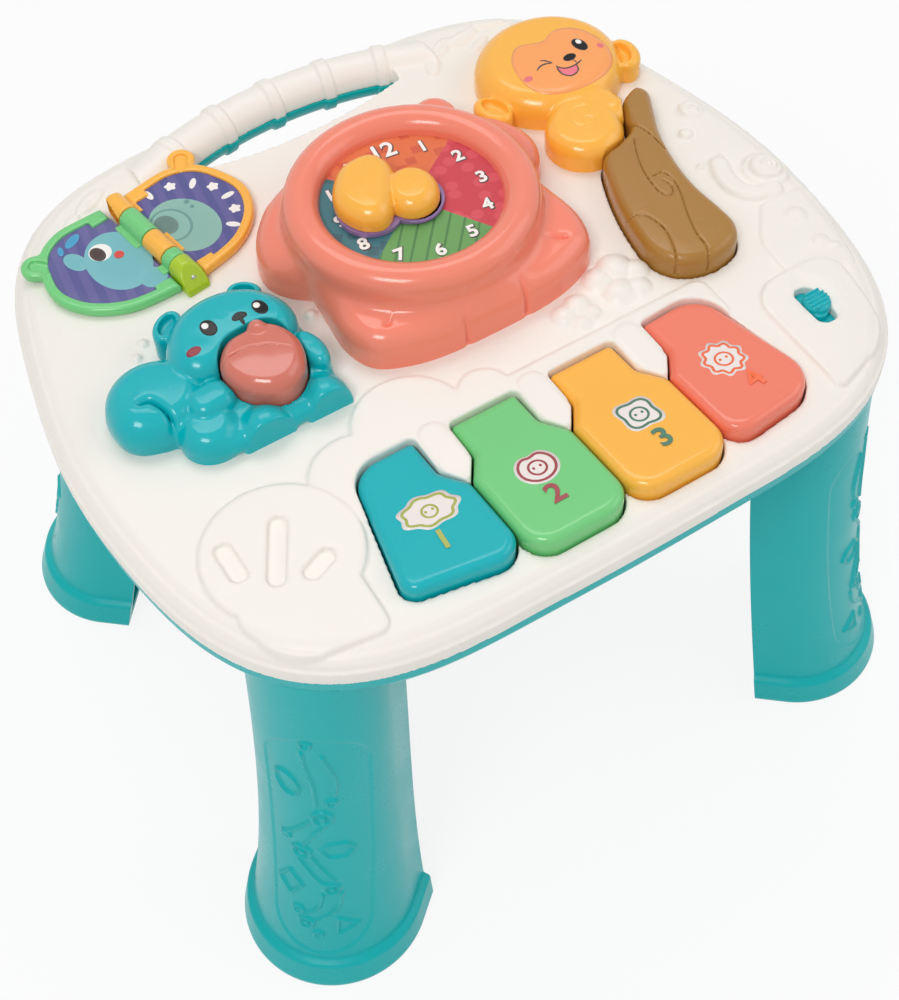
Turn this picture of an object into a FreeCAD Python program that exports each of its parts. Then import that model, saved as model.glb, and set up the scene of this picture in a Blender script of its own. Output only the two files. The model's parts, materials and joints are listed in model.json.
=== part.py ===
import FreeCAD, Part
import math
import os

# Musical activity table. Millimetres, +Z up. The origin is on the floor under the
# middle of the table, +X to the right of a child who sits at the keys, +Y to the back.
# Everything but the feet is drawn from the deck, the flat top of the white shell,
# and is lifted to its height above the floor when it is saved.

Vec = FreeCAD.Vector

# Body
deck_height = 254.0
dome_angles = (0.0, 28.0, 50.0, 69.0)
dome_crown = math.sin(math.radians(69.0))
body_reach = 180.0
shell_wall = 2.5
rim_depth = 13.0
band_depth = 6.0
tub_inset = 14.0
tub_depth = 44.0
outline_steps = 32

# Handle
handle_arc = 182.5
handle_back = 147.0
handle_radius = 11.0
handle_split = -6.0
handle_half_span = 80.0
handle_ring_pitch = 29.0
handle_ring_width = 5.0
handle_ring_proud = 1.3
finger_gap_front = 112.0
finger_gap_half = 58.0

# Legs
leg_angle_top = 42.5
leg_angle_foot = 40.8
leg_radius_top = 30.0
leg_radius_foot = 43.0
leg_arm_top = 20.0
leg_arm_foot = 16.0
leg_wall = 3.0
leg_rim_gap = 2.0
foot_distance = 188.6
boot_height = 17.0
boot_proud = 3.0
foot_plate = 3.0
leg_boss_depth = 28.0
fit_gap = 0.3
leg_play = 0.9

# Keys
key_pitch = 49.0
key_first_edge = -43.7
key_front = -152.0
key_back = -75.0
key_neck_end = -94.0
key_shoulder = -106.0
key_gap = 0.9
key_wall = 2.2
key_rise_front = 9.0
key_rise_back = 1.8
key_depth = 9.0
key_edge = 2.4
finger_half_width = 7.6
key_rod_radius = 1.5
key_rod_back = -60.0
key_rod_drop = 7.5
key_press_back = -115.0
key_press_x = (-68.0, -19.2, 29.8, 74.0)
key_arm_x = (-68.2, -19.2, 29.8, 73.0)
key_arm_half = 8.0
key_rod_ribs = (-79.0, 83.5)
running_gap = 0.1

# Raised areas of the deck
cloud_rise = 2.0
corner_rise = 2.5
slot_width = 9.0
slot_sink = 1.6

# Clock
clock_x = 6.5
clock_y = 21.0
bear_x = 10.0
window_radius = 41.5
ring_crest = 37.5
head_radius = 57.0
dial_level = 27.5
dial_thickness = 2.0
dial_ledge = 3.2
bear_body_rise = 20.0
spindle_radius = 3.0
spinner_plate = 2.0
spinner_gap = 0.6

# Flip book
book_x = -92.0
book_y = 84.0
book_turn = 8.5
hinge_rise = 6.6
knuckle_radius = 5.3
pin_radius = 1.5
page_floor = 1.2
page_thickness = 5.0
page_border = 4.5
card_sink = 1.2
card_thickness = 1.2
ear_radius = 6.6
ear_right = (40.0, 36.0)
ear_left = (48.0, 24.0)
knuckle_ends = (33.0, 20.0, 2.0, -13.0, -19.5)
knuckle_gap = 0.35
clip_length = 15.0

# Buttons
button_gap = 0.7
flange_gap = 0.3
flange_width = 1.8
flange_thickness = 1.5
trunk_rise = 13.0
acorn_rise = 26.0
monkey_rise = 18.0

# Boards, speaker and switch
board_thickness = 1.6
board_level = -22.0
dome_radius = 6.0
dome_height = 6.0
press_level = board_level + board_thickness + dome_height + 0.1
speaker_x = -124.0
speaker_y = -93.0
speaker_radius = 20.0
speaker_depth = 14.0
switch_x = 131.0
switch_y = -107.0
switch_slot_length = 22.0
switch_slot_width = 9.0
switch_cap_length = 14.0
switch_level = -14.0

# Batteries
cell_radius = 7.25
cell_length = 50.5
cell_gap = 0.75
cell_count = 3
bay_y = 18.0
bay_depth = 20.0
door_thickness = 2.0
screw_radius = 1.5
screw_head_radius = 3.0
screw_seat = -38.0
post_radius = 3.6

os.makedirs("parts", exist_ok=True)


def save(name, shape):
    """Lift a shape from the deck's level to its height above the floor and write it."""
    shape = shape.copy()
    shape.translate(Vec(0, 0, deck_height))
    shape.exportStep("parts/" + name + ".step")


def fuse(shapes):
    whole = shapes[0]
    if len(shapes) > 1:
        whole = shapes[0].multiFuse(shapes[1:])
    return whole.removeSplitter()


def outline_radius(angle):
    """Reach of the body's rounded square, with bowed sides and a narrower back."""
    share = (
        1
        + 0.055 * math.cos(2 * angle)
        - 0.068 * math.cos(4 * angle)
        + 0.010 * math.cos(8 * angle)
        - 0.041 * math.sin(angle)
        - 0.013 * math.sin(3 * angle)
    )
    return body_reach * share


def closed_curve(points, z):
    curve = Part.BSplineCurve()
    curve.interpolate(Points=[Vec(x, y, z) for x, y in points], PeriodicFlag=True)
    return Part.Wire([curve.toShape()])


def shifted(points, inset):
    """Move each point of a loop inwards, square to the line between its neighbours."""
    count = len(points)
    area = sum(
        points[i - 1][0] * points[i][1] - points[i][0] * points[i - 1][1]
        for i in range(count)
    )
    side = 1.0 if area > 0 else -1.0
    moved = []
    for i in range(count):
        before = points[i - 1]
        after = points[(i + 1) % count]
        dx = after[0] - before[0]
        dy = after[1] - before[1]
        length = math.hypot(dx, dy)
        moved.append(
            (points[i][0] - side * inset * dy / length, points[i][1] + side * inset * dx / length)
        )
    return moved


def body_points():
    points = []
    for i in range(outline_steps):
        angle = 2 * math.pi * i / outline_steps
        reach = outline_radius(angle)
        points.append((reach * math.cos(angle), reach * math.sin(angle)))
    return points


def layered(points, levels, ruled=True):
    """A solid through the same loop at several (inset, height) levels."""
    wires = [closed_curve(shifted(points, inset), z) for inset, z in levels]
    return Part.makeLoft(wires, True, ruled)


def prism(points, low, high, inset=0.0):
    face = Part.Face(closed_curve(shifted(points, inset), low))
    return face.extrude(Vec(0, 0, high - low))


def rounded_polygon(corners, z):
    """A wire through (x, y, radius) corners, each one rounded by a tangent arc."""
    count = len(corners)
    starts, middles, ends = [], [], []
    for i in range(count):
        here = Vec(corners[i][0], corners[i][1], z)
        before = Vec(corners[i - 1][0], corners[i - 1][1], z)
        after = Vec(corners[(i + 1) % count][0], corners[(i + 1) % count][1], z)
        radius = corners[i][2]
        a = (before - here).normalize()
        b = (after - here).normalize()
        half = math.acos(max(-1.0, min(1.0, a.dot(b)))) / 2
        reach = radius / math.tan(half)
        middle = (a + b).normalize()
        centre = here + middle * (radius / math.sin(half))
        starts.append(here + a * reach)
        ends.append(here + b * reach)
        middles.append(centre - middle * radius)
    edges = []
    for i in range(count):
        if corners[i][2] > 0:
            edges.append(Part.Arc(starts[i], middles[i], ends[i]).toShape())
        following = starts[(i + 1) % count]
        if (following - ends[i]).Length > 1e-4:
            edges.append(Part.LineSegment(ends[i], following).toShape())
    return Part.Wire(edges)


def slab(corners, low, high):
    return Part.Face(rounded_polygon(corners, low)).extrude(Vec(0, 0, high - low))


def box(x0, x1, y0, y1, z0, z1):
    return Part.makeBox(x1 - x0, y1 - y0, z1 - z0, Vec(x0, y0, z0))


def rod(x, y, low, high, radius):
    return Part.makeCylinder(radius, high - low, Vec(x, y, low))


def tube(x, y, low, high, outer, inner):
    return rod(x, y, low, high, outer).cut(rod(x, y, low - 1, high + 1, inner))


def revolved(x, y, profile):
    """Turn a closed (radius, height) profile about the upright line through x, y."""
    points = [Vec(x + r, y, z) for r, z in profile]
    face = Part.Face(Part.makePolygon(points + [points[0]]))
    return face.revolve(Vec(x, y, 0), Vec(0, 0, 1), 360)


def edged(shape, radius, wanted):
    """Round the edges that the test picks."""
    edges = [edge for edge in shape.Edges if wanted(edge)]
    return shape.makeFillet(radius, edges)


def bevelled(shape, width, wanted):
    """Take the edges that the test picks off at an angle."""
    edges = [edge for edge in shape.Edges if wanted(edge)]
    return shape.makeChamfer(width, edges)


def at_level(z):
    """A test for edges that lie in one level plane."""
    return lambda edge: abs(edge.BoundBox.ZMin - z) < 1e-3 and abs(edge.BoundBox.ZMax - z) < 1e-3


def ellipse_wire(half_x, half_y, z):
    if half_x >= half_y:
        return Part.Wire([Part.Ellipse(Vec(0, 0, z), half_x, half_y).toShape()])
    tall = Part.Ellipse(Vec(0, half_y, z), Vec(half_x, 0, z), Vec(0, 0, z))
    return Part.Wire([tall.toShape()])


def dome(x, y, half_x, half_y, rise, turn=0.0, foot=0.0):
    """An oval mound in four bands, upright up to the foot height and then curving over."""
    wires = [ellipse_wire(half_x, half_y, 0.0)] if foot > 0 else []
    for angle in dome_angles:
        share = math.cos(math.radians(angle))
        level = foot + (rise - foot) * math.sin(math.radians(angle)) / dome_crown
        wires.append(ellipse_wire(half_x * share, half_y * share, level))
    shape = Part.makeLoft(wires, True, True)
    shape.rotate(Vec(0, 0, 0), Vec(0, 0, 1), turn)
    shape.translate(Vec(x, y, 0))
    return shape


def cap(x, y, radius, rise):
    """A low round button that stands on the deck."""
    profile = [
        (0, -0.6), (radius, -0.6), (radius, 0), (radius * 0.78, rise * 0.6),
        (radius * 0.4, rise), (0, rise),
    ]
    return revolved(x, y, profile)


def leaf(x, y, length, width, turn, rise):
    """A pointed leaf: two arcs from tip to tip, raised from the deck."""
    half = length / 2
    tip_a = Vec(-half, 0, -1)
    tip_b = Vec(half, 0, -1)
    edges = [
        Part.Arc(tip_a, Vec(0, width / 2, -1), tip_b).toShape(),
        Part.Arc(tip_b, Vec(0, -width / 2, -1), tip_a).toShape(),
    ]
    shape = Part.Face(Part.Wire(edges)).extrude(Vec(0, 0, rise + 1))
    shape = bevelled(shape, rise * 0.4, at_level(rise))
    shape.rotate(Vec(0, 0, 0), Vec(0, 0, 1), turn)
    shape.translate(Vec(x, y, 0))
    return shape


def oval(half_x, half_y, low, high):
    disc = Part.makeCylinder(1.0, high - low, Vec(0, 0, low))
    stretch = FreeCAD.Matrix()
    stretch.scale(Vec(half_x, half_y, 1.0))
    return disc.transformGeometry(stretch)


def stadium(x, y, length, width, turn, low, high):
    """A straight slot with round ends, its length turned from +X by the angle."""
    straight = (length - width) / 2
    half = width / 2
    shape = box(-straight, straight, -half, half, low, high)
    shape = shape.fuse([rod(-straight, 0, low, high, half), rod(straight, 0, low, high, half)])
    shape = shape.removeSplitter()
    shape.rotate(Vec(0, 0, 0), Vec(0, 0, 1), turn)
    shape.translate(Vec(x, y, 0))
    return shape


# Legs

def leg_place(side_x, side_y, share):
    """Centre, outward direction, radius and arm length of a leg's section. The share runs
    from 0 at the rim to 1 at the floor."""
    angle = math.radians(leg_angle_top)
    top_distance = outline_radius(side_y * angle) - leg_rim_gap - leg_radius_top
    sweep = share ** 1.5
    turn = math.radians(leg_angle_top + (leg_angle_foot - leg_angle_top) * sweep)
    distance = top_distance + (foot_distance - top_distance) * sweep
    widening = 0.35 * share + 0.65 * share ** 4
    radius = leg_radius_top + (leg_radius_foot - leg_radius_top) * widening
    arm = leg_arm_top + (leg_arm_foot - leg_arm_top) * share
    out = Vec(side_x * math.cos(turn), side_y * math.sin(turn), 0)
    return out * distance, out, radius, arm


def leg_loop(side_x, side_y, share, z, grow, closed):
    """The leg's section: a channel of the wall's thickness, or the whole D if closed."""
    centre, out, radius, arm = leg_place(side_x, side_y, share)
    centre = centre + Vec(0, 0, z)
    across = Vec(-out.y, out.x, 0)
    outer = radius + grow
    inner = outer - leg_wall
    back = centre - out * (arm + grow)
    edges = [
        Part.LineSegment(back + across * outer, centre + across * outer).toShape(),
        Part.Arc(centre + across * outer, centre + out * outer, centre - across * outer).toShape(),
        Part.LineSegment(centre - across * outer, back - across * outer).toShape(),
    ]
    if closed:
        edges.append(Part.LineSegment(back - across * outer, back + across * outer).toShape())
        return Part.Wire(edges)
    edges += [
        Part.LineSegment(back - across * outer, back - across * inner).toShape(),
        Part.LineSegment(back - across * inner, centre - across * inner).toShape(),
        Part.Arc(centre - across * inner, centre + out * inner, centre + across * inner).toShape(),
        Part.LineSegment(centre + across * inner, back + across * inner).toShape(),
        Part.LineSegment(back + across * inner, back + across * outer).toShape(),
    ]
    return Part.Wire(edges)


leg_top = -(rim_depth + band_depth + shell_wall)
floor = -deck_height


def leg_share(z):
    return (leg_top - z) / (leg_top - floor)


def make_leg(side_x, side_y):
    shares = (0.0, 0.25, 0.5, 0.7, 0.85, 1.0)
    sections = []
    for share in shares:
        z = leg_top + (floor - leg_top) * share
        sections.append(leg_loop(side_x, side_y, share, z, 0.0, False))
    channel = Part.makeLoft(sections, True, True)
    boot_levels = (
        (floor + boot_height, 0.6),
        (floor + boot_height - 2.5, boot_proud),
        (floor + 2.0, boot_proud + 0.6),
        (floor, boot_proud - 0.2),
    )
    boot = Part.makeLoft(
        [leg_loop(side_x, side_y, leg_share(z), z, grow, False) for z, grow in boot_levels], True, True
    )
    plate = Part.Face(leg_loop(side_x, side_y, 1.0, floor, boot_proud - 1.0, True))
    return fuse([channel, boot, plate.extrude(Vec(0, 0, foot_plate))])


def leg_pocket(side_x, side_y, grow, low, high):
    """The upright D that a leg's top, grown by a gap or a wall, takes up in the body."""
    loop = leg_loop(side_x, side_y, 0.0, low, grow, True)
    return Part.Face(loop).extrude(Vec(0, 0, high - low))


# Shells

def gap_prism(grow, low, high):
    """The finger gap behind the deck and all that lies past it, down the body's back."""
    end = finger_gap_half + grow
    front = finger_gap_front - grow
    side = front + 8.0
    far = handle_back + handle_radius + 40.0
    points = [Vec(-end, side, low), Vec(0, front, low), Vec(end, side, low)]
    edges = [
        Part.Arc(*points).toShape(),
        Part.LineSegment(points[2], Vec(end + 12, far, low)).toShape(),
        Part.LineSegment(Vec(end + 12, far, low), Vec(-end - 12, far, low)).toShape(),
        Part.LineSegment(Vec(-end - 12, far, low), points[0]).toShape(),
    ]
    return Part.Face(Part.Wire(edges)).extrude(Vec(0, 0, high - low))


def handle_part(radius, upper, start, turn):
    """Half a round bar bent to the handle's arc, from a start angle off straight back."""
    centre = Vec(0, handle_back - handle_arc, handle_split)
    middle = centre + Vec(0, handle_arc, 0)
    crown = radius if upper else -radius
    arc = Part.Arc(
        middle + Vec(0, -radius, 0), middle + Vec(0, 0, crown), middle + Vec(0, radius, 0)
    )
    line = Part.LineSegment(middle + Vec(0, radius, 0), middle + Vec(0, -radius, 0))
    face = Part.Face(Part.Wire([arc.toShape(), line.toShape()]))
    shape = face.revolve(centre, Vec(0, 0, 1), turn)
    shape.rotate(centre, Vec(0, 0, 1), start)
    return shape


def make_handle_half(upper):
    half_turn = math.degrees(math.asin(handle_half_span / handle_arc))
    ring_turn = math.degrees(handle_ring_width / handle_arc)
    pieces = [handle_part(handle_radius, upper, -half_turn, 2 * half_turn)]
    for i in (-2, -1, 0, 1, 2):
        place = math.degrees(i * handle_ring_pitch / handle_arc)
        pieces.append(
            handle_part(handle_radius + handle_ring_proud, upper, place - ring_turn / 2, ring_turn)
        )
    bar = fuse(pieces)
    hollow_turn = math.degrees(math.asin((finger_gap_half + 4) / handle_arc))
    hollow = handle_part(handle_radius - shell_wall, upper, -hollow_turn, 2 * hollow_turn)
    return bar.cut(hollow)


def key_corners(index, grow=0.0):
    """Corners of a key seen from above, with the neck between the white fingers."""
    left = key_first_edge + (index - 1) * key_pitch + key_gap / 2 - grow
    right = left + key_pitch - key_gap + 2 * grow
    neck = finger_half_width + key_gap - key_gap / 2
    back = key_back + grow
    front = key_front - grow
    shoulder = key_shoulder - grow * 0.5
    if index == 0:
        outer_front = left - 3.5
        outer_back = left + 10.5
        return [
            (outer_back, back + 2, 15),
            (right - neck, back + 2, 2.5),
            (right - neck, key_neck_end, 6),
            (right, shoulder, 5),
            (right, front + 3, 11),
            (outer_front, front + 12, 7),
        ]
    if index == 3:
        outer_front = right + 2.5
        outer_back = right - 9.5
        return [
            (left + neck, back + 1, 2.5),
            (outer_back, back + 3, 15),
            (outer_front, front + 8, 17),
            (left, front + 2, 11),
            (left, shoulder, 5),
            (left + neck, key_neck_end, 6),
        ]
    return [
        (left + neck, back, 2.5),
        (right - neck, back, 2.5),
        (right - neck, key_neck_end, 6),
        (right, shoulder, 5),
        (right, front, 13),
        (left, front, 13),
        (left, shoulder, 5),
        (left + neck, key_neck_end, 6),
    ]


trunk_points = [
    (103, 12), (97, 1), (91, -16), (87, -34), (86, -48), (90, -58), (98, -64), (109, -66),
    (121, -63), (127, -55), (127.5, -44), (126.5, -27), (128, -12), (131, 2), (135, 14),
    (141, 26), (145.5, 36), (142.5, 42), (137, 41), (131, 37), (127, 30), (123, 20), (113, 15),
]
acorn_points = [
    (-88, 3), (-98, 1), (-105, -8), (-106, -18), (-101, -28), (-92, -34.5), (-82, -34),
    (-74, -27), (-70.5, -16), (-73, -5), (-79, 2),
]


def slots():
    """The three sound slots, like a paw print, as (x, y, length, turn)."""
    return ((-143.5, -86.5, 21.0, 90.0), (-125.5, -91.5, 34.0, 60.0), (-114.5, -106.0, 17.0, 22.0))


def make_deck_reliefs():
    """Clouds behind the keys, the speaker and switch corners and the garden reliefs."""
    pieces = []
    for x, y, r in ((-79, -78, 22.5), (-48, -66, 26), (-13, -68, 12.5)):
        pieces.append(bevelled(rod(x, y, -1, cloud_rise, r), 1.0, at_level(cloud_rise)))
    strip = slab(((-60, -92, 4), (100, -92, 4), (100, -66, 8), (-60, -66, 4)), -1, cloud_rise)
    pieces.append(bevelled(strip, 1.0, at_level(cloud_rise)))
    speaker_pad = rod(speaker_x, speaker_y, -1, corner_rise, 34.0)
    pieces.append(bevelled(speaker_pad, 1.2, at_level(corner_rise)))
    left_pad = slab(
        ((-160, -100, 14), (-102, -100, 2), (-104, -148, 6), (-146, -140, 24)), -1, corner_rise
    )
    pieces.append(bevelled(left_pad, 1.2, at_level(corner_rise)))
    right_pad = slab(
        ((111, -84, 16), (158, -84, 12), (150, -136, 26), (110, -150, 4)), -1, corner_rise
    )
    pieces.append(bevelled(right_pad, 1.2, at_level(corner_rise)))
    side_pad = slab(((138, -46, 12), (166, -42, 10), (160, -82, 6), (134, -82, 6)), -1, 1.4)
    pieces.append(bevelled(side_pad, 1.0, at_level(1.4)))
    for i in range(3):
        x = key_first_edge + i * key_pitch
        finger = slab(
            (
                (x - finger_half_width, key_back + 6, 2.5),
                (x - finger_half_width, key_shoulder + 2, 7.2),
                (x + finger_half_width, key_shoulder + 2, 7.2),
                (x + finger_half_width, key_back + 6, 2.5),
            ),
            -1,
            cloud_rise + 1.0,
        )
        pieces.append(bevelled(finger, 1.2, at_level(cloud_rise + 1.0)))
    for x, y, r, rise in (
        (41, -57, 9, 4), (49, -50, 8, 4.5), (55, -60, 6, 3), (66, -52, 11, 5), (77, -50, 9, 4),
        (166, -35, 11, 5), (149, -22, 7, 3.5), (148, -34, 5, 3), (160, 20, 8, 3),
        (147, 6, 6.5, 3), (-128, 30, 3, 3), (-122, 36, 3, 3), (-53, 10, 3.5, 3),
    ):
        pieces.append(cap(x, y, r, rise))
    for x, y, length, width, turn in (
        (66, 102, 34, 14, 75), (80, 118, 30, 12, 40), (102, 122, 32, 12, 8),
        (-23, 106, 17, 7, -12), (-17, 98, 14, 6, -45),
    ):
        pieces.append(leaf(x, y, length, width, turn, 2.5))
    return pieces


def screw_places():
    return ((-97, -102), (104, -95), (-136, 20), (138, 62), (-50, 94), (70, 94))


def make_top_shell():
    points = body_points()
    band = layered(points, [(0, -rim_depth), (0, -rim_depth + 5), (1.0, -rim_depth + 6)])
    shoulder = layered(
        points,
        [(1.6, -rim_depth + 5), (2.4, -5.2), (5.0, -2.6), (10.0, -0.8), (18.0, 0.0)],
    )
    outer = fuse([band, shoulder]).cut(gap_prism(0.0, -rim_depth - 1, 10))
    hollow = layered(
        points,
        [
            (shell_wall, -rim_depth - 1),
            (shell_wall, -rim_depth + 5),
            (5.5, -5.5),
            (10.0, -3.6),
            (18.0, -shell_wall),
        ],
    )
    hollow = hollow.cut(gap_prism(shell_wall, -rim_depth - 2, 10))
    added = [make_handle_half(True)] + make_deck_reliefs()
    cuts = []
    for x, y in screw_places():
        added.append(rod(x, y, -rim_depth, -shell_wall + 0.5, post_radius))
        cuts.append(rod(x, y, -rim_depth - 1, -shell_wall - 1, screw_radius - 0.2))
    for x in key_rod_ribs:
        rib_low = -key_rod_drop - 3.0
        added.append(box(x - 1.5, x + 1.5, key_rod_back - 4, key_rod_back + 4, rib_low, -shell_wall + 0.5))
        cuts.append(key_bore(x - 3, 6, key_rod_radius + 0.05))
    for x in (switch_x - 10, switch_x + 10):
        added.append(rod(x, switch_y, switch_level + board_thickness, -shell_wall + 0.5, 2.5))
    bracket_y = knuckle_ends[0] + knuckle_gap
    added.append(book_placed(box(-4.5, 4.5, bracket_y, bracket_y + 6, -1, hinge_rise + 4.0)))
    cuts.append(book_placed(bored(pin_radius + 0.05, bracket_y - 1, bracket_y + 3.5)))
    page_room = rod(ear_right[0], ear_right[1], page_floor - 0.6, 12, ear_radius + 0.8)
    cuts.append(book_placed(page_room))
    page_room = Part.Face(page_loop(-0.8, page_floor - 0.6, 1)).extrude(Vec(0, 0, 12))
    cuts.append(book_placed(page_room))
    added.append(tube(clock_x, clock_y, -1, dial_level, window_radius + 1.5, window_radius - 0.5))
    collar = speaker_radius + fit_gap
    added.append(tube(speaker_x, speaker_y, -6, -shell_wall + 0.5, collar + 1.7, collar))
    for index in range(4):
        opening = Part.Face(rounded_polygon(key_corners(index, key_gap), -20))
        cuts.append(opening.extrude(Vec(0, 0, 40)))
    cuts.append(prism(trunk_points, -20, 20, -button_gap))
    cuts.append(prism(acorn_points, -20, 20, -button_gap))
    cuts.append(rod(clock_x, clock_y, -20, 20, window_radius - 4))
    cuts.append(stadium(switch_x, switch_y, switch_slot_length, switch_slot_width, 90, -20, 20))
    for x, y, length, turn in slots():
        cuts.append(stadium(x, y, length, slot_width, turn, corner_rise - slot_sink, 20))
        cuts.append(stadium(x, y, length - 4, 1.4, turn, -20, 1.5))
    return outer.cut(hollow).multiFuse(added).cut(cuts)


def make_bottom_shell():
    points = body_points()
    top = -rim_depth
    flange = layered(points, [(0.6, top), (0.6, -18.0), (1.6, -20.5), (4.5, leg_top)])
    tub = layered(points, [(tub_inset, -20.0), (tub_inset + 2, -40.0), (tub_inset + 6, -tub_depth)])
    whole = flange.fuse(tub)
    outer = whole.cut(gap_prism(0.0, -tub_depth - 5, 10))
    gap_wall = gap_prism(shell_wall, -tub_depth - 6, 10)
    rim_room = layered(points, [(3.1, top + 1), (3.1, -17.0), (5.5, -19.2)]).cut(gap_wall)
    tub_floor = -tub_depth + shell_wall
    tub_room = layered(
        points, [(tub_inset + 2.5, -17.5), (tub_inset + 4.5, -39.0), (tub_inset + 8.5, tub_floor)]
    ).cut(gap_wall)
    shell = outer.cut([rim_room, tub_room])
    liners, pockets, bosses, cuts = [], [], [], []
    boss_low = leg_top - leg_boss_depth
    roof = leg_top + shell_wall
    for side_x in (-1, 1):
        for side_y in (-1, 1):
            liner = leg_pocket(side_x, side_y, leg_play + shell_wall, -tub_depth, roof)
            liners.append(liner.common(whole))
            pockets.append(leg_pocket(side_x, side_y, leg_play, -tub_depth - 9, leg_top))
            boss_inset = -leg_wall - fit_gap
            bosses.append(leg_pocket(side_x, side_y, boss_inset, boss_low, leg_top + 0.5))
            well = leg_pocket(side_x, side_y, boss_inset - shell_wall, boss_low + shell_wall, roof + 1)
            cuts.append(well)
    shell = shell.multiFuse(liners).cut(pockets)
    added = list(bosses)
    half_long = cell_length / 2 + 8
    half_wide = cell_count * (cell_radius + cell_gap) + 3
    low = bay_y - half_long
    high = bay_y + half_long
    bay_top = -tub_depth + bay_depth
    seat = -tub_depth + door_thickness
    added.append(box(-half_wide, half_wide, low, high, -tub_depth, bay_top))
    added.append(box(-half_wide - 4, half_wide + 4, low - 4, high + 14, -tub_depth, seat + 2))
    cuts.append(box(-half_wide + 2, half_wide - 2, low + 2, high - 2, seat - 1, bay_top - 2))
    cuts.append(box(-half_wide - 2, half_wide + 2, low - 2, high + 12, -tub_depth - 1, seat))
    door_post_y = high + 6
    added.append(rod(0, door_post_y, seat, seat + 10, post_radius))
    cuts.append(rod(0, door_post_y, seat - 1, seat + 8, screw_radius - 0.1))
    for x, y in screw_places():
        added.append(rod(x, y, -tub_depth + 1, -rim_depth, post_radius + 0.8))
        cuts.append(rod(x, y, -tub_depth - 1, -rim_depth + 1, screw_radius + 0.2))
        cuts.append(rod(x, y, -tub_depth - 1, screw_seat, screw_head_radius + 0.4))
    for x, y in board_posts():
        added.append(rod(x, y, -tub_depth + 1, board_level, 3.0))
    handle = make_handle_half(False).cut(prism(points, top, 5, -0.3))
    added.append(handle)
    shell = shell.multiFuse(added)
    return shell.cut(cuts)


# Keys

def key_bore(x, length, radius):
    return Part.makeCylinder(radius, length, Vec(x, key_rod_back, -key_rod_drop), Vec(1, 0, 0))


def above_slope(lift):
    """Everything above the keys' sloping top, moved down by the lift."""
    slope = (key_rise_front - key_rise_back) / (key_back - key_front - 8)
    far = 60.0
    z_back = key_rise_back - slope * far - lift
    z_front = key_rise_front + slope * far - lift
    points = [
        Vec(-200, key_back + far, z_back),
        Vec(-200, key_front + 8 - far, z_front),
        Vec(-200, key_front + 8 - far, 60),
        Vec(-200, key_back + far, 60),
    ]
    return Part.Face(Part.makePolygon(points + [points[0]])).extrude(Vec(400, 0, 0))


def make_key(index):
    body = Part.Face(rounded_polygon(key_corners(index), -key_depth)).extrude(Vec(0, 0, 30))
    body = body.cut(above_slope(0))
    body = edged(body, key_edge, lambda edge: edge.BoundBox.ZMin > 0 and edge.BoundBox.DiagonalLength > 0.5)
    hollow = Part.Face(rounded_polygon(key_corners(index, -key_wall), -key_depth - 1))
    hollow = hollow.extrude(Vec(0, 0, 31)).cut(above_slope(key_wall + 1.2))
    start = key_arm_x[index] - key_arm_half
    end = key_arm_x[index] + key_arm_half
    arm = box(start, end, key_back - 0.5, key_rod_back, -key_depth, -3.4)
    knuckle = key_bore(start, end - start, 3.6)
    press = rod(key_press_x[index], key_press_back, press_level, 4.5, 2.2)
    key = body.cut(hollow).multiFuse([arm, knuckle, press])
    return key.cut(key_bore(start - 1, end - start + 2, key_rod_radius + running_gap))


# Flip book

def book_placed(shape):
    """From the book's own frame, with +Y along the hinge, to its place on the deck."""
    shape = shape.copy()
    shape.rotate(Vec(0, 0, 0), Vec(0, 0, 1), book_turn)
    shape.translate(Vec(book_x, book_y, 0))
    return shape


def bored(radius, low, high):
    return Part.makeCylinder(radius, high - low, Vec(0, low, hinge_rise), Vec(0, 1, 0))


page_points = [
    (knuckle_radius + 1, 34), (16, 35), (31, 35), (44, 27.5), (51, 12), (52, 0), (47, -12),
    (38, -21), (26, -27), (knuckle_radius + 1, -30),
]


def page_loop(inset, z, side):
    """A page's edge: a curve round the open side and a straight line by the hinge."""
    points = [Vec(x, y, z) for x, y in page_points]
    middle = Vec(22, 3, z)
    moved = []
    for point in points:
        toward = middle - point
        moved.append(point + toward * (inset / toward.Length))
    moved[0] = Vec(points[0].x + inset, points[0].y - inset, z)
    moved[-1] = Vec(points[-1].x + inset, points[-1].y + inset, z)
    moved = [Vec(side * p.x, p.y, z) for p in moved]
    curve = Part.BSplineCurve()
    curve.interpolate(Points=moved)
    return Part.Wire([curve.toShape(), Part.LineSegment(moved[-1], moved[0]).toShape()])


def make_page(side, spans):
    """A page frame and its card; the side is +1 for the right page, -1 for the left."""
    top = page_floor + page_thickness
    frame = Part.Face(page_loop(0, page_floor, side)).extrude(Vec(0, 0, page_thickness))
    ear_x, ear_y = ear_right if side > 0 else ear_left
    ear = rod(side * ear_x, ear_y, page_floor, top, ear_radius)
    frame = fuse([frame, ear])
    frame = frame.cut(rod(side * ear_x, ear_y, top - card_sink, top + 1, ear_radius - 3))
    card_low = top - card_sink - card_thickness
    sink = Part.Face(page_loop(page_border, card_low, side)).extrude(Vec(0, 0, 10))
    frame = frame.cut(sink)
    for high, low in spans:
        knuckle = bored(knuckle_radius, low + knuckle_gap, high - knuckle_gap)
        reach = knuckle_radius + 2
        web = box(0, reach, low + knuckle_gap, high - knuckle_gap, page_floor + 0.6, hinge_rise - 1)
        if side < 0:
            web = box(-reach, 0, low + knuckle_gap, high - knuckle_gap, page_floor + 0.6, hinge_rise - 1)
        frame = fuse([frame, knuckle, web])
    frame = frame.cut(bored(pin_radius + running_gap, -60, 60))
    card = Part.Face(page_loop(page_border + 0.15, card_low, side)).extrude(Vec(0, 0, card_thickness))
    return book_placed(frame), book_placed(card)


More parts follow.
